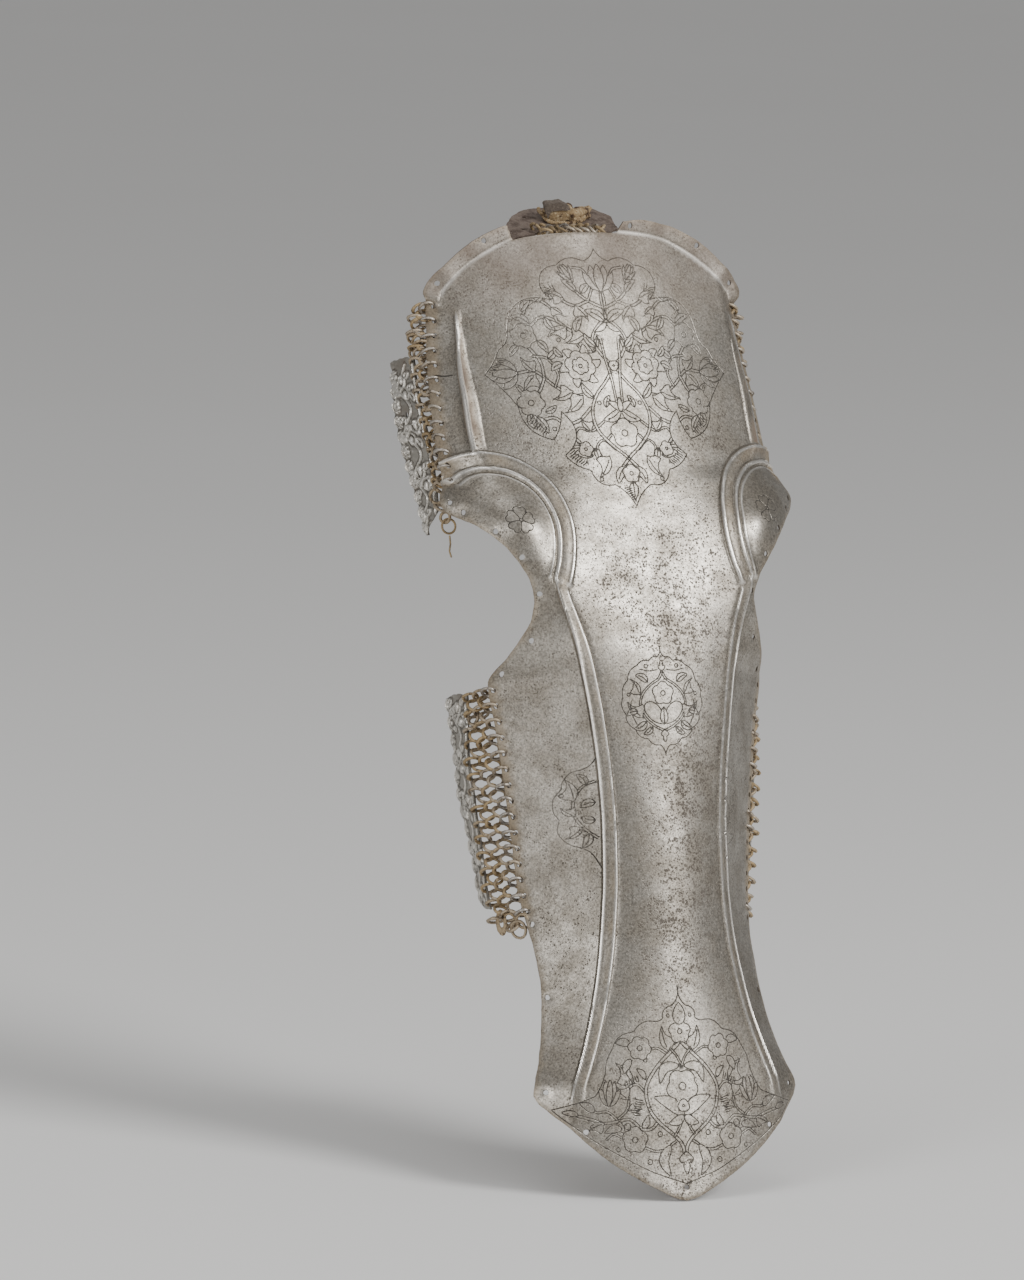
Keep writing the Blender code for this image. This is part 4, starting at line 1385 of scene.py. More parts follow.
@dataclass
class Skin:
    """One face of a sheet: its flat points in triangles, with every loop's points by number."""

    spots: Line
    faces: list[list[int]]
    rings: list[list[int]]

    @classmethod
    def over(cls, points: Scatter, loops: list[Line]) -> "Skin":
        """Triangulate points within the outline and outside the holes.

        Args:
            points: all points, those of the loops first.
            loops: the outline and then each hole.

        Returns:
            The skin.
        """
        ends = np.cumsum([0] + [len(loop) for loop in loops])
        rings = [list(range(low, high)) for low, high in zip(ends, ends[1:])]
        flat, _, found, orig, _, owners = delaunay_2d_cdt([Vector(p) for p in points.points], [], rings, 1, 1e-5)
        kept = [list(face) for face, owner in zip(found, owners) if list(owner) == [0]]
        renamed = {old: new for new, olds in enumerate(orig) for old in olds}
        return cls(np.array(flat), kept, [[renamed[k] for k in ring] for ring in rings])


def sheet(front: Skin, outer: np.ndarray, back: Skin, inner: np.ndarray) -> Mesh:
    """A sheet made of two skins joined round its outline and round every hole.

    Args:
        front: the outer skin.
        outer: its points in space.
        back: the inner skin, seen from the same side.
        inner: its points in space.

    Returns:
        The closed mesh, the outer skin's points first.
    """
    bm = bmesh.new()
    verts = [bm.verts.new(point) for point in np.vstack([outer, inner])]
    first = len(outer)
    for face in front.faces:
        bm.faces.new([verts[k] for k in face])
    for face in back.faces:
        bm.faces.new([verts[first + k] for k in reversed(face)])
    for near, far in zip(front.rings, back.rings):
        edges = [bm.edges.get((verts[a], verts[b])) for a, b in zip(near, near[1:] + near[:1])]
        edges += [bm.edges.get((verts[first + a], verts[first + b])) for a, b in zip(far, far[1:] + far[:1])]
        bmesh.ops.bridge_loops(bm, edges=edges)
    return bm


# ---------------------------------------------------------------- the face plate


@dataclass
class FacePlate:
    """The one large plate, with its raised work, lacing holes, engraving and corroded edges."""

    outline_pitch: float = 2.0
    grid_pitch: float = 2.9
    lining_pitch: float = 6.0
    hole_radius: float = 1.7
    hole_sides: int = 14
    rim_round: float = 0.45
    rim_drop: float = 0.22
    cut_half: float = 0.45
    cut_depth: float = 0.3
    wobble: float = 0.3
    dents: tuple = ((0.2, 30.0, 1.7), (0.07, 9.0, 4.0))  # depth, size and seed of the hammered surface's waves
    # how far free points keep from a rim, and each bed of them from what is there: cuts, their sides, raised work
    rim_clear: float = 0.75
    bed_clear: Triple = (0.25, 0.3, 0.42)
    # the engraving is worn: between two levels by a share, below a level, on the flanks (out, level, reach), not
    # past an out
    worn_brow: Triple = (505.0, 560.0, 0.4)
    worn_nose: Pair = (330.0, 0.92)
    worn_flank: tuple[float, float, float, float] = (46.0, 240.0, 70.0, 0.62)
    fresh_out: float = 78.0
    shaded_top: Triple = (540.0, 600.0, 0.55)  # painted shade: the top of the brow is darkened between these levels, by this much
    rust_strength: Pair = (0.4, 0.55)  # along every edge, and under the rings
    unpolished: tuple = (("pitted", 0.12), ("inner", 0.85))  # the values of the inner side
    flank_holes: tuple[int, float, float, float] = (15, 184.0, 322.0, 2.5)  # count, lowest, highest and inset
    brow_holes: tuple[int, float, float, float] = (13, 453.5, 566.0, 4.0)
    muzzle_holes: tuple = ((84.0, 71), (73.0, 130), (63.3, 45.3), (74.8, 176))
    eye_holes: tuple = ((88.5, 331.5), (77.0, 350.5), (73.5, 379), (84.3, 402), (98, 419), (112, 432.5), (117.5, 439.5))
    lone_holes: tuple = ((0, 8.5), (102.5, 580), (77.5, 603), (29, 615), (-101.5, 580), (-71, 606))
    rim_meets_ear: Pair = (20.0, 611.5)
    ear_short_out: float = 55.0  # the left flange is broken off here
    nose_medallion_height: float = 310.0
    boss_flowers: tuple = (((90.0, 431.0), 0.12), ((-83.3, 425.5), -0.12))  # centre and how far each is turned
    boss_flower_radius: float = 8.8
    crack: tuple = ((-110.5, 520.6), (-107.5, 521.4), (-104.5, 520.4), (-101.0, 520.8))
    crack_width: float = 0.35
    # where the mesh follows the nose rib, the moulding over the eye, the brow rib and the ear's fold
    rib_lines: tuple = (-4.6, -3.9, -3.6, -3.3, -2.8, -2.2, -1.2, 0.4, 2.4, 3.6, 4.1, 4.6, 5.3, 5.7, 6.2, 6.8, 7.6)
    arch_lines: Triple = (-8.2, 9.7, 0.58)
    brow_lines: tuple = (-3.4, -2.3, -1.7, -1.2, -0.8, -0.4, 0.0, 0.4, 0.9, 1.5, 3.2, 4.8, 6.0, 6.8, 7.2, 7.6, 8.4, 9.4)
    ear_lines: tuple = (2.0, 1.0, 0.0, -0.6, -1.2, -1.8, -2.4, -3.0, -4.0)
    # clusters of pits: out, height, radius and strength
    blemishes: tuple = ((18, 352, 34, 0.26), (34, 290, 24, 0.2), (12, 255, 30, 0.28), (20, 205, 30, 0.22),
                        (-22, 385, 26, 0.18), (66, 478, 26, 0.22), (-60, 470, 28, 0.20), (-70, 560, 26, 0.20),
                        (30, 410, 30, 0.16), (0, 150, 26, 0.2), (-8, 180, 16, 0.16), (26, 160, 20, 0.16),
                        (44, 56, 36, 0.14), (-40, 44, 36, 0.16), (0, 14, 22, 0.2), (-96, 412, 16, 0.14),
                        (0, 70, 30, -0.08), (0, 520, 70, -0.08), (0, 310, 26, -0.1), (-85, 425, 14, -0.1),
                        (85, 430, 14, -0.1))
    lines: list[Line] = field(default_factory=list)

    def right_half(self, short: bool = False) -> Line:
        """The outline's right half from the tip to the top of the centre line.

        Args:
            short: whether its ear flange is the one broken off.

        Returns:
            Evenly spaced points as out and height.
        """
        levels = np.linspace(FORM.muzzle_corner - 2.0, FORM.brow_top, 250)
        side = np.stack([FORM.sections.at(levels)[:, 3], levels], axis=1)
        muzzle, ear, rim = (curve_through(route, 2.0) for route in (FORM.muzzle_edge, FORM.ear_edge, FORM.top_rim))
        if short:
            ear = ear[ear[:, 0] > self.ear_short_out]
            rim = rim[rim[:, 0] < self.ear_short_out - 1.5]
        else:
            rim = np.vstack([[self.rim_meets_ear], rim[rim[:, 0] < self.rim_meets_ear[0] - 1.0]])
        return respaced(np.vstack([muzzle, side, ear, rim]), self.outline_pitch)

    def outline(self) -> Line:
        """The closed outline, anticlockwise, its edge a little eaten away.

        Returns:
            Its points, without the first again.
        """
        left = self.right_half(short=True)[::-1] * (-1.0, 1.0)
        route = np.vstack([self.right_half(), left[1:-1]])
        eaten = self.wobble * mottled(route, 7.0, 3.1) + 0.5 * self.wobble * mottled(route, 2.6, 8.0)
        return offset(route, self.wobble * 0.6 + eaten)

    def hole_centres(self) -> list[Pair]:
        """Every lacing hole as out and height.

        Returns:
            The centre of each.
        """
        one_side = list(self.muzzle_holes + self.eye_holes)
        for count, low, high, inset in (self.flank_holes, self.brow_holes):
            one_side += [tuple(FORM.edge(height, inset)) for height in np.linspace(low, high, count)]
        return [*self.lone_holes, *[(out * sign, height) for out, height in one_side for sign in (1, -1)]]

    def hole(self, centre: Spot, radius: float) -> Line:
        """The edge of one lacing hole, a true circle on the plate's face and a little ragged.

        Args:
            centre: its middle, as out and height.
            radius: its radius on the face.

        Returns:
            Its points, without the first again.
        """
        angle = math.tau * (np.arange(self.hole_sides) + 0.5) / self.hole_sides
        across = FORM.facing(np.array([centre], float))[0]
        squeeze = np.array([abs(across[1]) / math.hypot(across[0], across[1]), 1.0])
        ragged = radius * (1.0 + 0.07 * np.sin(2 * angle + centre[1]) + 0.04 * np.sin(3 * angle + centre[0]))
        return np.array(centre) + around(angle) * ragged[:, None] * squeeze

    def engrave(self) -> None:
        """Set out every engraved line of the plate."""
        self.lines = Ornament().draw(FOREHEAD) + Ornament().draw(MUZZLE)
        self.lines += [line + (0.0, self.nose_medallion_height) for line in Ornament(pitch=0.9).draw(NOSE)]
        for line in Ornament(pitch=0.9).draw(FLANK):
            self.lines += [line, line * (-1.0, 1.0)]
        for centre, turn in self.boss_flowers:
            self.lines += boss_flower(centre, self.boss_flower_radius, math.pi / 2 + turn)
        crack = curve_through(self.crack, 1.0)
        self.lines += [crack, crack + (0.0, self.crack_width)]

    def crest_lines(self) -> list[Line]:
        """Lines along the raised work of the right side for the mesh to follow.

        Returns:
            The lines, as out and height.
        """
        levels = np.arange(56.0, 392.0, 2.2)
        fold = np.stack([FORM.sections.at(levels)[:, 1], levels], axis=1)
        found = [fold + (away / (FORM.rib_side if away > 0.0 else 1.0), 0.0) for away in self.rib_lines]
        arch, brow, ear = (respaced(curve_through(route, 1.0), pitch) for route, pitch in (
            (FORM.eye_arch, 1.7), (FORM.brow_rib, 2.2), (FORM.ear_fold, 1.8)))
        found += [offset(arch, away) for away in np.arange(*self.arch_lines)]
        found += [offset(brow, away * FORM.brow_taper(brow[:, 1])) for away in self.brow_lines]
        return found + [offset(ear, away) for away in self.ear_lines]

    def scatter(self, loops: list[Line]) -> Scatter:
        """Free points of the outer skin: rims, cuts, raised work and a field between them.

        Args:
            loops: the outline and the holes, whose points come first.

        Returns:
            All points, those of the loops first.
        """
        points = Scatter(loops)
        points.add(offset(shut(loops[0]), self.rim_round)[:-1], 0.3)
        for centre in self.hole_centres():
            points.add(self.hole(centre, self.hole_radius + self.rim_round), 0.2)
        rims = Nearest(np.vstack([respaced(loop, 0.8, closed=True) for loop in loops]))
        cuts = [respaced(line, 1.15) for line in self.lines if len(line) > 1]
        on_cut, by_cut, on_crest = self.bed_clear
        beds = [(line, on_cut) for line in cuts]
        beds += [(offset(line, side * self.cut_half), by_cut) for line in cuts for side in (1, -1)]
        beds += [(FORM.straight(line * (sign, 1.0), 1.0), on_crest)
                 for line in self.crest_lines() for sign in (1.0, -1.0)]
        beds.append((self.grid(self.grid_pitch), self.grid_pitch * 0.55))
        for some, clear in beds:
            some = some[within(some, loops[0])]
            if len(some):
                points.add(some[rims.distance(some) > self.rim_clear], clear)
        return points

    @staticmethod
    def grid(pitch: float) -> Line:
        """A field of points over the whole plate."""
        half = round(125.0 / pitch) + 1
        return staggered(pitch, 1.0, round(622.0 / (pitch * ROW_STEP)), range(-half, half + 1))

    def lining(self, loops: list[Line]) -> Scatter:
        """Free points of the inner skin: a wide field, closer along the raised work.

        Args:
            loops: the outline and the holes, whose points come first.

        Returns:
            All points, those of the loops first.
        """
        points = Scatter(loops)
        beds = [(self.grid(self.lining_pitch), self.lining_pitch * 0.5)]
        beds += [(FORM.straight(respaced(line, 5.0) * (sign, 1.0), 1.0), 1.6)
                 for line in self.crest_lines()[::3] for sign in (1.0, -1.0)]
        for some, clear in beds:
            points.add(some[within(some, loops[0])], clear)
        return points

    def skin_values(self, spots: Line, loops: list[Line]) -> dict[str, np.ndarray]:
        """What the finish needs to know at each point of the outer skin.

        Args:
            spots: the skin's points.
            loops: the closed outline and the hole edges.

        Returns:
            The attributes by name, and the height of each point under "lift".
        """
        side, height = folded(spots).T
        cuts = Nearest(np.vstack([respaced(line, 0.22) for line in self.lines]))
        cut = np.clip(1.0 - cuts.distance(spots) / self.cut_half, 0.0, 1.0)
        faint = np.clip(0.95 + 0.4 * mottled(spots, 26.0, 5.0), 0.7, 1.0)
        low, high, share = self.worn_brow
        faint *= 1.0 - share * eased(height, low, high)
        faint[height < self.worn_nose[0]] *= self.worn_nose[1]
        out, level, reach, share = self.worn_flank
        faint[(side > out) & (np.abs(height - level) < reach)] *= share
        faint[side > self.fresh_out] = 1.0
        to_rim = Nearest(np.vstack([respaced(loop, 0.5, closed=True) for loop in loops])).distance(spots)
        rim = np.clip(1.0 - to_rim / self.rim_round, 0.0, 1.0)
        hammered = sum(depth * mottled(spots, size, seed) for depth, size, seed in self.dents)
        lift = hammered - self.cut_depth * cut * faint - self.rim_drop * rim
        crest, (bright, brown) = self.crest(spots), self.flange(spots)
        # tan oxide lies on the raised work; on the slope inside each brow rib it is laid thicker, with brown over it,
        # as painted shade
        tan_and_shade = 0.3 * np.clip(FORM.relief(spots), 0.0, 1.0) * (1.0 - np.clip(1.4 * np.abs(crest), 0.0, 1.0))
        # where the slope inside each brow rib lies, for its painted shade
        slope = eased(height, 464.0, 474.0) * eased(side, 66.0, 72.0)
        tan_and_shade *= 1.0 + 1.2 * slope
        tan_and_shade *= np.clip(0.6 + 1.3 * mottled(spots, 13.0, 11.0), 0.1, 1.3)
        # painted shade: the top of the brow, where it curves back, darkened in patches
        low, high, share = self.shaded_top
        top_shade = share * eased(height, low, high) * np.clip(0.75 + 0.8 * mottled(spots, 24.0, 13.0), 0.1, 1.0)
        # crest also carries the painted highlight along the ear fold, inner the painted shade at the top of the brow
        # and on the brow rib's slope, and edge the tan oxide with its painted shade on that slope
        return {"lift": lift, "cut": cut * faint, "crest": np.maximum(crest, bright),
                "inner": np.maximum(np.maximum(top_shade, brown), 1.3 * slope * tan_and_shade),
                "edge": np.maximum(self.rusty_edge(spots, loops[0]), tan_and_shade), "pitted": self.pitting(spots)}

    @staticmethod
    def flange(spots: Line) -> tuple[np.ndarray, np.ndarray]:
        """The turned-up rim at the ears: a painted highlight along its crease, and how brown the metal past it.

        Args:
            spots: where on the plate.

        Returns:
            Both from 0 to 1, for each spot.
        """
        past, _ = beside(curve_through(FORM.ear_fold, 4.0), folded(spots))
        high = eased(spots[:, 1], 568.0, 576.0)
        # a painted highlight just inside the fold's crease
        bright = 0.75 * np.exp(-(((past + 0.4) / 1.3) ** 2)) * np.clip(0.7 + 1.2 * mottled(spots, 20.0, 2.0), 0.0, 1.0)
        brown = eased(-past, 1.2, 3.4) * np.clip(0.5 + 0.6 * mottled(spots, 15.0, 7.0), 0.15, 0.85)
        return bright * high, brown * high

    @staticmethod
    def crest(spots: Line, reach: float = 1.3, full: float = 0.32) -> np.ndarray:
        """How much each point stands out from the ground about it: 1 on a crest and -1 in a crease.

        Args:
            spots: where on the plate.
            reach: how far off the ground is felt.
            full: the height that counts as 1.

        Returns:
            One number for each spot.
        """
        here = FORM.relief(spots)
        about = sum(FORM.relief(spots + (reach * c, reach * s)) for c, s in ((1, 0), (-1, 0), (0, 1), (0, -1))) / 4
        return np.clip((here - about) / full, -1.0, 1.0)

    def rusty_edge(self, spots: Line, outline: Line) -> np.ndarray:
        """Where rust has crept in from the edges, widest under the rings.

        Args:
            spots: where on the plate.
            outline: its closed outline.

        Returns:
            How rusty each spot is, from 0 to 1.
        """
        side, height = folded(spots).T
        faint, strong = self.rust_strength
        thin = faint * np.clip(1.0 - Nearest(respaced(outline, 0.8, closed=True)).distance(spots) / 2.2, 0.0, 1.0)
        wide = np.zeros(len(spots))
        for _, low, high, inset in (self.flank_holes, self.brow_holes):
            inwards = FORM.sections.at(height)[:, 3] - side
            share = (1.0 - eased(inwards, inset + 0.2, inset + 2.6)) * eased(height, low - 5.0, low)
            wide = np.maximum(wide, strong * share * (1.0 - eased(height, high, high + 4.0)))
        return np.maximum(thin, wide)

    def pitting(self, spots: Line) -> np.ndarray:
        """How thickly pits lie at each point.

        Args:
            spots: where on the plate.

        Returns:
            One number for each spot, 0 where there are few.
        """
        found = np.zeros(len(spots))
        for out, height, radius, strength in self.blemishes:
            away = np.hypot(spots[:, 0] - out, spots[:, 1] - height) / radius
            found += strength * np.exp(-away * away)
        return found

    def model(self) -> Piece:
        """Model the plate.

        Returns:
            The finished piece.
        """
        self.engrave()
        loops = [self.outline(), *(self.hole(centre, self.hole_radius) for centre in self.hole_centres())]
        front, back = Skin.over(self.scatter(loops), loops), Skin.over(self.lining(loops), loops)
        values = self.skin_values(front.spots, loops)
        outer = FORM.lifted(front.spots, values.pop("lift"))
        depth, size, seed = self.dents[0]
        inner = FORM.lifted(back.spots, -FORM.wall + depth * mottled(back.spots, size, seed))
        behind = dict(self.unpolished)
        lined = {label: np.append(numbers, np.full(len(inner), behind.get(label, 0.0)))
                 for label, numbers in values.items()}
        return Piece("chanfron_face_plate", sheet(front, outer, back, inner), "plate_steel", ["face_plate"],
                     values=lined, flat=lined["cut"] > 0.05)


# ---------------------------------------------------------------- the side strips


@dataclass(frozen=True)
class Band:
    """Where a side strip and its mail hang, set out on the right side.

    The rows give height, then out and back of the strip's inner edge and of its outer edge.
    """

    name: str
    rows: Table
    low: float
    high: float
    lobe: float
    holes: tuple[int, float, float, float]  # count, lowest, highest and inset of the plate's lacing holes
    # share of the way to the strip, tilt and swing in degrees of each ring of a row
    columns: tuple[Triple, ...]
    ring: float
    bow: float = 0.8
    lobe_depth: float = 2.0
    foot_point: float = 0.0
    foot_corner: float = 0.0

    def width(self, height: np.ndarray) -> np.ndarray:
        """How broad the strip is at each level."""
        row = self.rows.at(height)
        return np.linalg.norm(row[:, 2:] - row[:, :2], axis=1)

    def spots(self, flat: Line, lift: np.ndarray | float = 0.0) -> np.ndarray:
        """Points of the strip in the plate's frame.

        Args:
            flat: distance from the inner edge and height of each.
            lift: how far out from the strip's middle each stands.

        Returns:
            One row of out, back and height for each.
        """
        row = self.rows.at(flat[:, 1])
        run = row[:, 2:] - row[:, :2]
        wide = np.linalg.norm(run, axis=1)[:, None]
        share = flat[:, :1] / wide
        outwards = np.stack([run[:, 1], -run[:, 0]], axis=1) / wide
        bowed = self.bow * 4 * share * (1 - share)
        level = row[:, :2] + run * share + outwards * (bowed + np.reshape(lift, (-1, 1)))
        return np.column_stack([level, flat[:, 1]])


LOWER_BAND = Band(
    "lower", Table(((187, 88, 77, 82.5, 103), (203, 91, 77, 84.6, 104), (217, 92.5, 76.5, 86.5, 104),
                    (237, 94.5, 76, 90.5, 103.5), (262, 97.3, 76, 95, 103.5), (281, 98.9, 76, 96.4, 103.5),
                    (322, 98, 76, 100.6, 103.5))),
    187.5, 321.5, 11.2, FacePlate.flank_holes,
    ((0.17, 24.0, 16.0), (0.36, -30.0, -36.0), (0.55, 28.0, 34.0), (0.74, -26.0, -34.0), (0.92, 20.0, 16.0)), 4.7,
    foot_corner=15.0)
UPPER_BAND = Band(
    "upper", Table(((423, 107, 88, 107.5, 106), (443, 107, 87, 111, 110), (470, 108.3, 88, 117.3, 112.5),
                    (500, 111.5, 93, 120.5, 118), (519, 113, 97, 120, 122), (536, 113.5, 99, 118.5, 124))),
    423.5, 534.5, 9.6, FacePlate.brow_holes,
    ((0.25, 22.0, 16.0), (0.47, -30.0, -36.0), (0.68, 28.0, 34.0), (0.9, 22.0, 8.0)), 4.8, foot_point=15.0)


@dataclass
class SideStrip:
    """A strip of thin sheet hammered with bosses and a vine, its outer edge cut in lobes."""

    band: Band
    side: Side
    wall: float = 1.1
    pitch: float = 0.85
    back_pitch: float = 4.5
    line_half: float = 0.8
    boss_half: Pair = (1.9, 2.9)
    boss_gap: float = 14.5
    boss_out: float = 11.0
    boss_stray: Triple = (3.4, -2.6, 1.2)
    corner_cut: float = 17.0
    dent: Pair = (0.7, 24.0)  # depth and size of its bends
    vine: Pair = (14.0, 4.6)  # the vine's middle from the inner edge and how far it sways
    # inset from the edge, and half length in lobes, of each chased arc in a lobe
    lobe_arcs: tuple = ((1.5, 0.40), (3.5, 0.30))
    # a torn slot beside every third boss: its corners, and its place from the boss
    slot: tuple = ((-0.9, -1.5), (0.7, -1.9), (1.1, 0.4), (0.6, 1.9), (-0.8, 1.3))
    slot_place: Pair = (5.5, 6.8)

    def outline(self) -> Line:
        """The closed outline, as distance from the inner edge and height, with its eaten edges.

        Returns:
            Its points, without the first again.
        """
        band = self.band
        levels = np.arange(band.low, band.high, self.pitch)
        both = np.stack([levels, levels], axis=1)
        waver = 0.5 * mottled(both, 30.0, self.side.value + 3.0)
        lobes = 1.0 - np.abs(np.sin(math.pi * (levels - band.low) / band.lobe + waver))
        outer = band.width(levels) - band.lobe_depth * (1.0 + 0.5 * mottled(both, 14.0, 5.5)) * lobes
        inner = 0.5 + 0.5 * mottled(both, 6.0, 2.0)
        if band.foot_corner:
            t = np.clip((levels - band.low) / band.foot_corner, 0.0, 1.0)
            outer -= self.corner_cut * (1.0 - np.sqrt(1.0 - (1.0 - t) ** 2))
        if band.foot_point:
            inner += (1.0 - eased(levels, band.low, band.low + band.foot_point)) * outer * 0.78
        right = np.stack([outer, levels], axis=1)
        left = np.stack([inner, levels], axis=1)[::-1]
        across = np.linspace(0.0, 1.0, 24)[1:-1]
        top = right[-1] + (left[0] - right[-1]) * across[:, None]
        top[:, 1] += 1.3 * mottled(top, 5.0, 1.0) + 1.6 * np.sin(across * 3.0)
        foot = left[-1] + (right[0] - left[-1]) * np.linspace(0.0, 1.0, 12)[1:-1, None]
        foot[:, 1] += 0.8 * mottled(foot, 4.0, 7.0)
        return respaced(np.vstack([right, top, left, foot]), self.pitch, closed=True)[:-1]

    def bosses(self) -> list[Pair]:
        """The centre of each boss along the strip.

        Returns:
            Distance from the inner edge and height of each.
        """
        count = int((self.band.high - self.band.low - 14.0) / self.boss_gap)
        return [(self.boss_out + self.boss_stray[k % 3], self.band.low + 11.0 + self.boss_gap * (k + 0.35 * (k % 2)))
                for k in range(count + 1)]

    def chasing(self) -> list[Line]:
        """The chased lines: a vine that winds between the bosses, curls, leaves and an arc in each lobe.

        Returns:
            The lines, as distance from the inner edge and height.
        """
        art = Ornament(pitch=0.8)
        band = self.band
        levels = np.arange(band.low + 3.0, band.high - 2.0, 5.0)
        middle, sway = self.vine
        art.line([(middle + sway * math.sin(math.tau * (y - band.low) / (2 * self.boss_gap)), y) for y in levels])
        art.line([(2.4 + 0.3 * math.sin(y / 7.0), y) for y in levels])
        for k, (x, y) in enumerate(self.bosses()):
            way = 1 if k % 2 else -1
            art.line([(x + 4.9 * math.cos(a) * (1 - a / 9.5), y + 5.6 * math.sin(a) * way * (1 - a / 9.5))
                      for a in np.arange(0.0, 6.4, 0.55)])
            art.leaf((x + 5.0, y), (x + 11.0, y + 3.4 * way), 1.7, 0.8 * way)
            art.leaf((x - 4.0, y + 1.0), (x - 7.5, y - 4.5 * way), 1.4, -0.6)
            art.ring((x + 8.5, y - 4.0 * way), 1.5)
            art.ring((x - 6.5, y + 5.0 * way), 1.3)
        for y in np.arange(band.low + band.lobe / 2, band.high - 3.0, band.lobe):
            wide = float(band.width(np.array([y]))[0])
            for inset, half in self.lobe_arcs:
                edge, reach = wide - inset, band.lobe * half
                art.line([(edge - 3.2, y - reach), (edge - 0.6, y - reach * 0.6), (edge, y),
                          (edge - 0.6, y + reach * 0.6), (edge - 3.2, y + reach)])
            art.ring((wide - 6.0, y), 1.0)
        return art.lines

    def relief(self, flat: Line) -> tuple[np.ndarray, np.ndarray]:
        """The hammered relief.

        Args:
            flat: distance from the inner edge and height of each point.

        Returns:
            Its height at each point, and its share of the full height for the finish.
        """
        away_line = Nearest(np.vstack([respaced(line, 0.3) for line in self.chasing() if len(line) > 1])).distance(flat)
        ridge = np.clip(1.0 - (away_line / self.line_half) ** 2, 0.0, 1.0)
        dome = np.zeros(len(flat))
        halo = np.zeros(len(flat))
        for x, y in self.bosses():
            away = np.hypot((flat[:, 0] - x) / self.boss_half[0], (flat[:, 1] - y) / self.boss_half[1])
            dome = np.maximum(dome, np.sqrt(np.clip(1.0 - away * away, 0.0, 1.0)))
            halo = np.maximum(halo, np.clip(1.0 - np.abs(away - 1.25) / 0.35, 0.0, 1.0))
        scales = np.clip((flat[:, 0] - self.band.width(flat[:, 1]) + 8.0) / 8.0, 0.0, 1.0) * np.abs(
            np.sin(math.pi * (flat[:, 1] - self.band.low) / self.band.lobe))
        grain = mottled(flat, 1.7, 4.0)
        height = ridge + 1.6 * dome + 0.9 * scales + 0.22 * grain - 0.4 * halo * (1.0 - dome)
        groove = np.clip(1.6 - np.abs(away_line - 1.35) / 0.5, 0.0, 1.0)
        share = 0.36 + 0.55 * ridge + 0.9 * dome + 0.2 * scales + 0.3 * grain - 0.45 * halo * (1.0 - dome)
        share -= 0.5 * groove * (1.0 - dome)
        return height, np.clip(share, 0.0, 1.3)

    def skin(self, loops: list[Line], pitch: float) -> Skin:
        """One skin of the strip, with its points about a pitch apart.

        Args:
            loops: the outline and then each hole.
            pitch: the spacing.

        Returns:
            The skin in triangles.
        """
        points = Scatter(loops)
        rows = round((self.band.high - self.band.low + 6.0) / (pitch * ROW_STEP))
        grid = staggered(pitch, self.band.low - 2.0, rows, range(-2, round(34.0 / pitch)))
        points.add(grid[within(grid, loops[0])], pitch * 0.6)
        return Skin.over(points, loops)

    def model(self) -> Piece:
        """Model the strip.

        Returns:
            The finished piece.
        """
        x, y = self.slot_place
        slots = [np.array([(boss[0] + x + i, boss[1] + y + j) for i, j in self.slot]) for boss in self.bosses()[1::3]]
        loops = [self.outline(), *slots]
        front, back = self.skin(loops, self.pitch), self.skin(loops, self.back_pitch)
        height, share = self.relief(front.spots)
        rim = np.clip(Nearest(loops[0]).distance(front.spots) / 0.8, 0.0, 1.0)
        depth, size = self.dent
        dents, back_dents = (depth * mottled(skin.spots, size, 6.0 + self.side.value) for skin in (front, back))
        outer = self.band.spots(front.spots, self.wall / 2 + height * rim + dents)
        inner = self.band.spots(back.spots, -self.wall / 2 + back_dents)
        stained = np.clip(1.2 * mottled(front.spots, 17.0, 9.0) - 0.4, 0.0, 0.6)
        values = {"relief": np.concatenate([share, np.full(len(inner), 0.2)]),
                  "worn": np.concatenate([stained, np.full(len(inner), 0.4)])}
        bm = sheet(front, outer, back, inner)
        if self.side is Side.LEFT:
            bmesh.ops.scale(bm, verts=bm.verts, vec=(-1.0, 1.0, 1.0))
            bmesh.ops.reverse_faces(bm, faces=bm.faces)
        name = f"{self.band.name}_{self.side.name.lower()}"
        return Piece(f"embossed_strip_{name}", bm, "embossed_steel", [f"strip_{name}"], sharp=50.0, values=values)


# ---------------------------------------------------------------- the rings


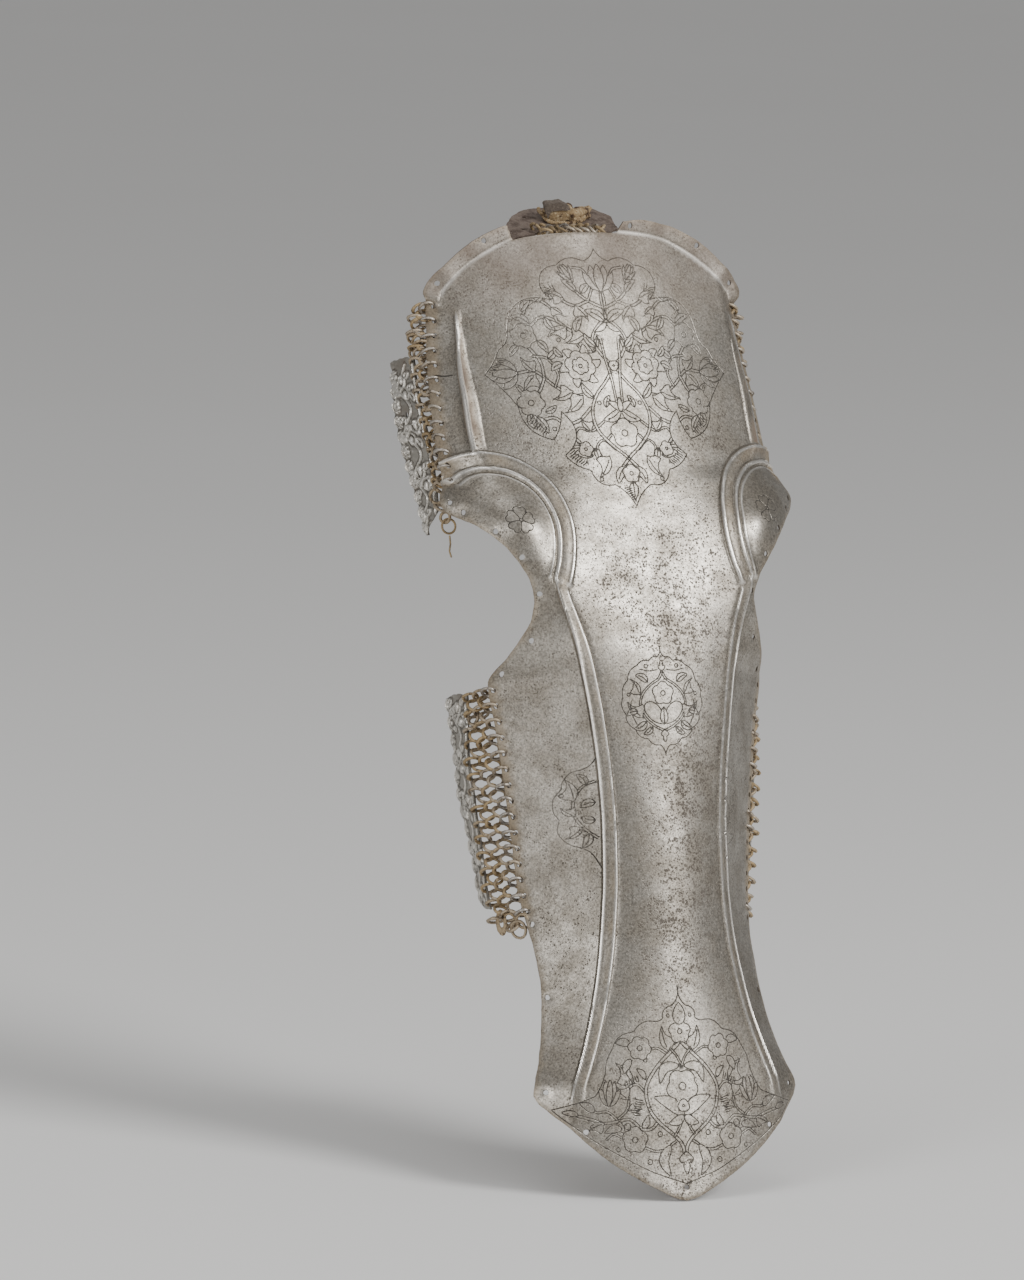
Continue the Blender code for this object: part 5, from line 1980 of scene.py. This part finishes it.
@dataclass
class Links:
    """Iron rings gathered into one mesh, each with its own tone."""

    wire: float = 1.0
    steps: int = 14
    sides: int = 5
    seed: int = 7
    lap_half: float = 0.5  # half the joint's length round the ring, in radians
    bm: Mesh = field(default_factory=bmesh.new)
    tones: list[float] = field(default_factory=list)

    def __post_init__(self) -> None:
        """Start the run of chance that sets each ring a little askew."""
        self.chance = random.Random(self.seed)

    def add(self, centre: Spot, axis: Spot, radius: float, tone: float, long: float = 1.0, flat: float = 1.0) -> None:
        """Add one ring.

        Args:
            centre: its middle in the plate's frame.
            axis: the way its hole faces.
            radius: from its middle to the middle of the wire.
            tone: 0 for tan oxide up to 1 for grey metal.
            long: how much longer than wide it is pulled.
            flat: how much broader than thick the wire is hammered.
        """
        profile = bmesh.ops.create_circle(self.bm, segments=self.sides, radius=self.wire)["verts"]
        bmesh.ops.rotate(self.bm, verts=profile, matrix=Matrix.Rotation(math.pi / 2, 3, "X"))
        bmesh.ops.scale(self.bm, verts=profile, vec=(flat, 1.0, 1.0 / flat ** 0.5))
        bmesh.ops.translate(self.bm, verts=profile, vec=(radius, 0.0, 0.0))
        edges = dict.fromkeys(edge for vert in profile for edge in vert.link_edges)
        bmesh.ops.spin(self.bm, geom=[*profile, *edges], cent=(0, 0, 0), axis=(0, 0, 1), angle=math.tau,
                       steps=self.steps, use_merge=True)
        self.bm.verts.ensure_lookup_table()
        verts = self.bm.verts[len(self.tones):]
        lap = self.chance.uniform(0.0, math.tau)
        for vert in verts:
            # the joint, where the two ends lap and a rivet pinned them
            turn = math.remainder(math.atan2(vert.co.y, vert.co.x) - lap, math.tau)
            near = max(0.0, 1.0 - abs(turn) / self.lap_half)
            vert.co.xy *= 1.0 + 0.05 * near * math.copysign(1.0, vert.co.xy.length - radius)
            vert.co.z *= 1.0 + 0.5 * near
            vert.co.x *= long
        turn = Vector(axis).to_track_quat("Z", "X").to_matrix().to_4x4()
        bmesh.ops.transform(self.bm, verts=verts, matrix=Matrix.Translation(Vector(centre)) @ turn)
        self.tones += [tone] * len(verts)

    def finished(self, name: str, *stands_for: str) -> Piece:
        """The rings as one piece, their faces turned outwards."""
        bmesh.ops.recalc_face_normals(self.bm, faces=self.bm.faces)
        return Piece(name, self.bm, "ring_iron", stands_for, sharp=75.0, values={"tone": np.array(self.tones)})


@dataclass(frozen=True)
class Link:
    """How one ring of the mail hangs: its share of the way to the strip, tilt and swing in degrees, and shape."""

    share: float
    tilt: float
    swing: float = 14.0
    radius: float = 0.0  # 0 for the band's own
    long: float = 1.0
    flat: float = 1.0


@dataclass
class SideMail:
    """The rings that lace a strip to the plate, row by row through the plate's holes."""

    band: Band
    side: Side
    jitter: float = 0.55
    turn_jitter: float = 14.0
    near_plate: float = 0.3  # rings this near go through the plate's holes
    sag: float = 0.13
    missing: float = 0.4  # the share of the rings next to the plate that is lost on the right
    right_tuck: Pair = (2.0, 3.2)  # how far in the right-hand rings lie, at the holes and midway
    # more rings, each with its height
    extra: tuple[tuple[float, Link], ...] = ()

    def add_ring(self, links: Links, height: float, hole: float, link: Link, tone: float) -> None:
        """Add one ring at its share of the way from its hole to the strip.

        Args:
            links: the mail to add it to.
            height: its level.
            hole: the level of its lacing hole.
            link: how it hangs.
            tone: its tone.
        """
        chance = links.chance
        start = FORM.lifted(np.array([FORM.edge(hole, self.band.holes[3])]), -FORM.wall / 2)[0]
        start[2] = height
        run = np.array([*self.band.rows.at(height)[0, :2], height]) - start
        reach = float(np.linalg.norm(run))
        unit = run / reach
        outwards = np.array([unit[1], -unit[0], 0.0])
        radius = (link.radius or self.band.ring) * chance.uniform(0.94, 1.06)
        laced = link.share < self.near_plate
        loose = 0.0 if laced else self.jitter
        away = self.band.ring * 0.97 if laced else link.share * reach
        centre = start + unit * away
        centre = centre + np.array([chance.uniform(-loose, loose) for _ in range(3)])
        centre[2] -= self.sag * away
        if self.side is Side.RIGHT:
            midway = 0.0 if link.share <= self.near_plate else math.sin(math.pi * link.share)
            centre[0] -= self.right_tuck[0] * (1.0 - link.share) + self.right_tuck[1] * midway
        phi = math.radians(self.side.value * (link.tilt + chance.uniform(-1.0, 1.0) * self.turn_jitter))
        psi = math.radians(link.swing + chance.uniform(-0.6, 0.6) * self.turn_jitter)
        upright = np.array([0.0, 0.0, 1.0]) * math.cos(psi) + unit * math.sin(psi)
        axis = upright * math.cos(phi) + outwards * math.sin(phi)
        sign = np.array([self.side.value, 1.0, 1.0])
        links.add(centre * sign, axis * sign, radius, tone, link.long, link.flat)

    def model(self) -> Piece:
        """Model the rings.

        Returns:
            The finished piece.
        """
        links = Links(seed=11 + self.side.value + len(self.band.name))
        count, low, high, _ = self.band.holes
        step = (high - low) / (count - 1)
        for row in range(count):
            hole = low + step * row
            for column, hang in enumerate(self.band.columns):
                height = hole + (0.5 * step if column % 2 else 0.0)
                gone = self.side is Side.RIGHT and column < 2 and links.chance.random() < self.missing
                if height > high + 1.0 or gone:
                    continue
                tone = links.chance.uniform(*((-0.35, 0.55) if column else (0.45, 1.0)))
                self.add_ring(links, height, hole, Link(*hang), tone)
        for height, link in self.extra:
            self.add_ring(links, height, float(np.clip(height, low, high)), link, links.chance.uniform(0.1, 0.5))
        name = f"{self.band.name}_{self.side.name.lower()}"
        return links.finished(f"ring_mail_{name}", f"mail_{name}")


# ---------------------------------------------------------------- the poll


POLL_SLOPE = math.radians(30.0)
POLL_ORIGIN = (-6.0, 101.0, 615.5)  # where the poll plate's own frame starts, as out, back and height


def poll_points(spots: np.ndarray) -> np.ndarray:
    """Points of the poll plate in the plate's frame, from across, back along its slope and off its upper face.

    Args:
        spots: the three of them for each point, or for one alone.

    Returns:
        Out, back and height of each.
    """
    s, c = math.sin(POLL_SLOPE), math.cos(POLL_SLOPE)
    out, along, lift = np.moveaxis(np.asarray(spots, float), -1, 0)
    x, y, z = POLL_ORIGIN
    return np.stack([out + x, y + along * c - lift * s, z + along * s + lift * c], axis=-1)


@dataclass
class PollPlate:
    """The small torn plate behind the top rim that once covered the poll."""

    wall: float = 1.5
    pitch: float = 2.4
    torn: float = 0.55
    left_end: Triple = (-44.0, -30.0, 2.4)  # it turns down between these, by this much
    outline_corners: tuple = ((-35.6, -9.5), (-29, -8.4), (-22.3, -6.8), (-18, -3), (-9, -1.6), (0, -0.6),
                              (11, -1.4), (21, -0.4), (30, -1.9), (34.5, -2.2), (36.5, 1.4), (40.5, 2.6), (41.5, 9),
                              (43.7, 21.5), (40.5, 27), (35.9, 33.8), (30, 35.4), (24, 35.0), (12, 36.4), (4, 35.4),
                              (-1.5, 34.4), (-8.8, 33.7), (-15, 30.2), (-20, 26.4), (-24.9, 22.8), (-30.5, 15.6),
                              (-35.8, 7.6), (-39.5, 0.5), (-43.4, -7.5), (-42.5, -10.6))
    # centre, half breadth and half height of each hole
    holes: tuple = (((-27.5, 0.6), (2.0, 1.2)), ((-18.0, 20.0), (1.7, 1.2)), ((29.0, 8.0), (1.4, 1.0)),
                    ((-16.5, 2.6), (1.6, 1.3)), ((3.0, 1.9), (1.2, 1.0)), ((20.5, 2.4), (1.2, 1.0)))

    def model(self) -> Piece:
        """Model the plate.

        Returns:
            The finished piece.
        """
        outline = respaced(np.array(self.outline_corners, float), 1.6, closed=True)[:-1]
        outline = outline + np.stack([mottled(outline, 3.5, 1.0), mottled(outline, 3.5, 6.0)], axis=1) * self.torn
        turn = np.linspace(0.0, math.tau, 12, endpoint=False)
        loops = [outline, *(np.array(centre) + around(turn) * half for centre, half in self.holes)]
        points = Scatter(loops)
        grid = staggered(self.pitch, -12.0, 25, range(-20, 20))
        points.add(grid[within(grid, outline)], self.pitch * 0.55)
        skin = Skin.over(points, loops)
        low, high, drop = self.left_end
        bent = 1.1 * mottled(skin.spots, 22.0, 3.0) + 0.35 * mottled(skin.spots, 6.0, 2.0)
        bent -= drop * (1.0 - eased(skin.spots[:, 0], low, high))
        outer, inner = (poll_points(np.column_stack([skin.spots, bent - depth])) for depth in (0.0, self.wall))
        return Piece("poll_plate_torn", sheet(skin, outer, skin, inner), "brown_iron", ["poll_plate"], sharp=45.0)


@dataclass
class Stump:
    """What is left of a fitting on the poll plate: a crumbling block of rust under a flake of iron.

    Sizes are across, along and off the poll plate.
    """

    block: tuple = ((-5.8, 11.4), (11.2, 20.5), (0.3, 10.2))
    block_round: float = 0.42
    lowest: float = 0.25  # nothing of it sinks below this
    lumps: tuple = ((3.2, 0.85, (0, 0, 0)), (1.2, 0.5, (9, 3, 1)))  # size, height and shift of the crust's noise
    cap_lumps: tuple = ((4.0, 0.8, (3, 1, 7)), (1.6, 0.3, (0, 0, 0)))
    cap_middle: Pair = (0.5, 12.0)
    cap_shrink: Pair = (0.9, 0.7)  # how much smaller its back is, across and off
    cap_front: tuple = ((-9.6, 10.6), (-9.2, 12.4), (-6.2, 14.0), (-0.8, 14.8), (4.6, 13.9), (7.2, 12.1), (8.6, 9.4),
                        (3.0, 8.9), (-4.6, 8.6), (-5.4, 6.0), (-6.0, 3.0), (-7.6, 6.6))
    cap_along: Pair = (9.6, 16.8)
    seed: int = 5  # of the lumps' noise, which is otherwise new each time
    collar: tuple = ((-7.6, 22.4, 4.6), (-7.2, 15.9, 3.0), (-6.2, 10.7, 1.5), (-1.8, 9.0, 1.0), (3.8, 8.6, 0.9),
                     (11.0, 9.0, 1.0), (18.0, 11.0, 2.0))
    collar_radius: float = 1.15
    # crumbs lying to the right: across, along, off and radius
    crumbs: tuple = ((12.5, 14.5, 6.2, 5.0), (17.0, 17.0, 5.6, 4.8), (21.5, 20.0, 5.0, 4.2), (25.5, 23.5, 4.2, 3.6),
                     (28.5, 26.5, 3.4, 2.8), (14.0, 12.0, 2.6, 3.6), (19.5, 14.5, 2.2, 3.0), (24.5, 18.0, 1.8, 2.6),
                     (10.0, 20.0, 8.0, 4.4))

    def model(self) -> Piece:
        """Model the stump.

        Returns:
            The finished piece.
        """
        noise.seed_set(self.seed)
        bm = bmesh.new()
        bmesh.ops.create_cube(bm, size=2.0)
        bmesh.ops.subdivide_edges(bm, edges=bm.edges[:], cuts=7, use_grid_fill=True)
        for vert in bm.verts:
            soft = vert.co.lerp(vert.co.normalized() * 1.18, self.block_round)
            vert.co = Vector([(low + high) / 2 + (high - low) / 2 * c for (low, high), c in zip(self.block, soft)])
        for x, y, z, radius in self.crumbs:
            made = bmesh.ops.create_icosphere(bm, subdivisions=3, radius=radius)["verts"]
            bmesh.ops.scale(bm, verts=made, vec=(1.15, 0.9, 0.72))
            bmesh.ops.translate(bm, verts=made, vec=(x, y, z * 0.8))
        for bead in curve_through(self.collar, 1.2):
            made = bmesh.ops.create_icosphere(bm, subdivisions=2, radius=self.collar_radius)["verts"]
            bmesh.ops.translate(bm, verts=made, vec=bead)
        for vert in bm.verts:
            vert.co += sum((noise.noise_vector(vert.co / size + Vector(shift)) * height
                            for size, height, shift in self.lumps), Vector())
            vert.co.z = max(vert.co.z, self.lowest)
        crust = len(bm.verts)
        self.add_cap(bm)
        bmesh.ops.recalc_face_normals(bm, faces=bm.faces)
        capped = np.concatenate([np.zeros(crust), np.ones(len(bm.verts) - crust)])
        for vert in bm.verts:
            vert.co = Vector(poll_points(np.array(vert.co)))
        return Piece("poll_stump_crust", bm, "rust_crust", ["poll_block"], sharp=60.0, values={"capped": capped})

    def add_cap(self, bm: Mesh) -> None:
        """Set the flake of iron on the block.

        Args:
            bm: the mesh that holds the block.
        """
        before = len(bm.verts)
        front, back = self.cap_along
        outline = respaced(np.array(self.cap_front), 1.5, closed=True)[:-1]
        face = bm.faces.new([bm.verts.new((x, front, z)) for x, z in outline])
        grown = bmesh.ops.extrude_face_region(bm, geom=[face])["geom"]
        moved = [item for item in grown if isinstance(item, bmesh.types.BMVert)]
        bmesh.ops.translate(bm, verts=moved, vec=(0.0, back - front, 0.0))
        (x, z), (across, off) = self.cap_middle, self.cap_shrink
        for vert in moved:
            vert.co.x = x + (vert.co.x - x) * across
            vert.co.z = z + (vert.co.z - z) * off
        bm.verts.ensure_lookup_table()
        sides = dict.fromkeys(edge for vert in bm.verts[before:] for edge in vert.link_edges
                              if abs(edge.verts[0].co.y - edge.verts[1].co.y) > 5)
        bmesh.ops.subdivide_edges(bm, edges=list(sides), cuts=5)
        bm.verts.ensure_lookup_table()
        bmesh.ops.triangulate(bm, faces=[face for face in bm.faces if len(face.verts) > 4])
        for vert in bm.verts[before:]:
            for size, height, shift in self.cap_lumps:
                vert.co += noise.noise_vector(vert.co / size + Vector(shift)) * height


@dataclass
class PollMail:
    """The rings between the top rim and the poll plate, left where they fell."""

    across: Pair = (-25.5, 15.0)
    columns: int = 8
    rim_height: float = 609.0
    # back and height of each row, and its tilt
    rows: tuple = ((82.0, 612.2, 52.0), (89.0, 613.8, -40.0), (96.5, 615.4, 50.0))
    ring: float = 4.1

    def model(self) -> Piece:
        """Model the rings.

        Returns:
            The finished piece.
        """
        links = Links(seed=23)
        chance = links.chance
        low, high = self.across
        for k, (back, height, tilt) in enumerate(self.rows):
            for column in range(self.columns):
                out = low + (high - low) * (column + 0.5 * (k % 2)) / (self.columns - 0.5)
                here, middle = FORM.sheet_back(np.array([[out, self.rim_height], [0.0, self.rim_height]]))
                turn = math.radians(tilt + chance.uniform(-16.0, 16.0))
                axis = (math.cos(turn), 0.25 * chance.uniform(-1.0, 1.0), math.sin(turn))
                centre = (out + chance.uniform(-0.8, 0.8), back + float(here - middle) * (1.0 - k / 3.0),
                          height + chance.uniform(-0.4, 0.6))
                links.add(centre, axis, self.ring * chance.uniform(0.9, 1.05), chance.uniform(-0.9, 1.0))
        return links.finished("poll_ring_mail", "poll_mail")


def hanging_links() -> Piece:
    """The rings between the foot of the upper left mail and the loose ring.

    Returns:
        The finished piece.
    """
    links = Links(seed=31)
    links.add((-110.6, 82.5, 446.0), (0.85, 0.5, 0.2), 4.5, 0.3)
    links.add((-108.0, 81.0, 438.6), (0.15, -0.5, 0.85), 4.4, 0.5)
    links.add((-106.2, 80.0, 432.6), (0.8, 0.6, -0.1), 3.4, 0.2)
    return links.finished("hanging_links")


# ---------------------------------------------------------------- the studio


@dataclass
class Studio:
    """A plain pale floor, soft lights and the camera. Places are in metres in the world."""

    eye: Triple = (-2.604314, -5.407839, 0.605110)
    right: Triple = (0.90650, -0.42027, 0.04037)
    up: Triple = (0.01771, 0.13339, 0.99090)
    lens: float = 270.84
    sensor: float = 36.0
    far_clip: float = 200.0
    floor_half: float = 30.0
    floor_gap: float = 0.0002
    # name, place, size and power in watts
    lights: tuple = (("key", (2.1, -3.5, 2.85), 2.0, 168.0), ("low", (2.1, -4.1, 0.8), 1.6, 46.0),
                     ("fill", (-3.6, -2.2, 1.0), 2.0, 52.0), ("top", (-0.6, -0.6, 3.4), 2.0, 16.0))
    lit_spot: Triple = (0.0, 0.0, -0.15)
    world_grey: float = 0.36

    @staticmethod
    def add(name: str, data: bpy.types.ID) -> bpy.types.Object:
        """Link a new object of the scene.

        Args:
            name: its name.
            data: its mesh, light or camera.

        Returns:
            The object.
        """
        made = bpy.data.objects.new(name, data)
        bpy.context.scene.collection.objects.link(made)
        return made

    def add_floor(self, material: bpy.types.Material) -> None:
        """Lay the floor under the lowest point of the object.

        Args:
            material: its finish.
        """
        bm = bmesh.new()
        bmesh.ops.create_grid(bm, x_segments=2, y_segments=2, size=self.floor_half)
        bmesh.ops.translate(bm, vec=(0.0, 0.0, CAD_BOX[0][2] - self.floor_gap), verts=bm.verts)
        mesh = bpy.data.meshes.new("floor")
        bm.to_mesh(mesh)
        bm.free()
        mesh.materials.append(material)
        self.add("floor", mesh)

    def add_lights(self) -> None:
        """Hang the soft lights, each facing the middle of the object."""
        for name, spot, size, power in self.lights:
            light = bpy.data.lights.new(name, "AREA")
            light.shape = "DISK"
            light.size = size
            light.energy = power
            lamp = self.add(name, light)
            lamp.location = spot
            lamp.rotation_euler = (-Vector(spot) + Vector(self.lit_spot)).to_track_quat("-Z", "Y").to_euler()
        world = bpy.data.worlds.new("studio")
        world.use_nodes = True
        world.node_tree.nodes["Background"].inputs[0].default_value = (self.world_grey,) * 3 + (1.0,)
        bpy.context.scene.world = world

    def add_camera(self) -> None:
        """Stand the camera."""
        camera = bpy.data.cameras.new("camera")
        camera.lens = self.lens
        camera.sensor_fit = "VERTICAL"
        camera.sensor_height = camera.sensor_width = self.sensor
        camera.clip_end = self.far_clip
        right, up = Vector(self.right).normalized(), Vector(self.up).normalized()
        turn = Matrix((right, up, right.cross(up).normalized())).transposed()
        stand = self.add("camera", camera)
        stand.matrix_world = Matrix.Translation(self.eye) @ turn.to_4x4()
        bpy.context.scene.camera = stand


@dataclass
class Chanfron:
    """The whole object: every piece with its finish."""

    # the stray rings at the foot of the left-hand mail, each with its height
    foot_links: tuple = ((179.0, Link(0.24, 70.0, radius=4.6)), (174.0, Link(0.30, 84.0, radius=5.4)),
                         (177.0, Link(0.42, -40.0, radius=4.4)), (181.0, Link(0.52, 60.0, radius=4.4)),
                         (181.5, Link(0.74, 75.0, radius=3.1, long=1.9, flat=1.5)),
                         (310.0, Link(0.88, 86.0, radius=4.6)))
    top_links: tuple = ((544.0, Link(0.62, 30.0, radius=4.6)), (541.0, Link(0.9, -55.0, radius=4.6)),
                        (549.0, Link(0.95, 50.0, radius=4.6)))

    def build(self) -> None:
        """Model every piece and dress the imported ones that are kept."""
        rings, brown = RingIron().build(), BrownIron().build()
        embossed = EmbossedSteel().build()
        FacePlate().model().place(BrightSteel().build())
        for side in Side:
            for band, extra in ((LOWER_BAND, self.foot_links), (UPPER_BAND, self.top_links)):
                SideStrip(band, side).model().place(embossed)
                SideMail(band, side, extra=extra if side is Side.LEFT else ()).model().place(rings)
        PollPlate().model().place(brown)
        Stump().model().place(RustCrust().build())
        PollMail().model().place(rings)
        hanging_links().place(rings)
        for name in ("loose_ring", "loose_wire"):
            bpy.data.objects[name].data.materials.clear()
            bpy.data.objects[name].data.materials.append(rings)


def main() -> None:
    """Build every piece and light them."""
    logging.basicConfig(level=logging.INFO, format="%(message)s")
    Chanfron().build()
    studio = Studio()
    studio.add_floor(StudioFloor().build())
    studio.add_lights()
    studio.add_camera()


if __name__ == "__main__":
    main()
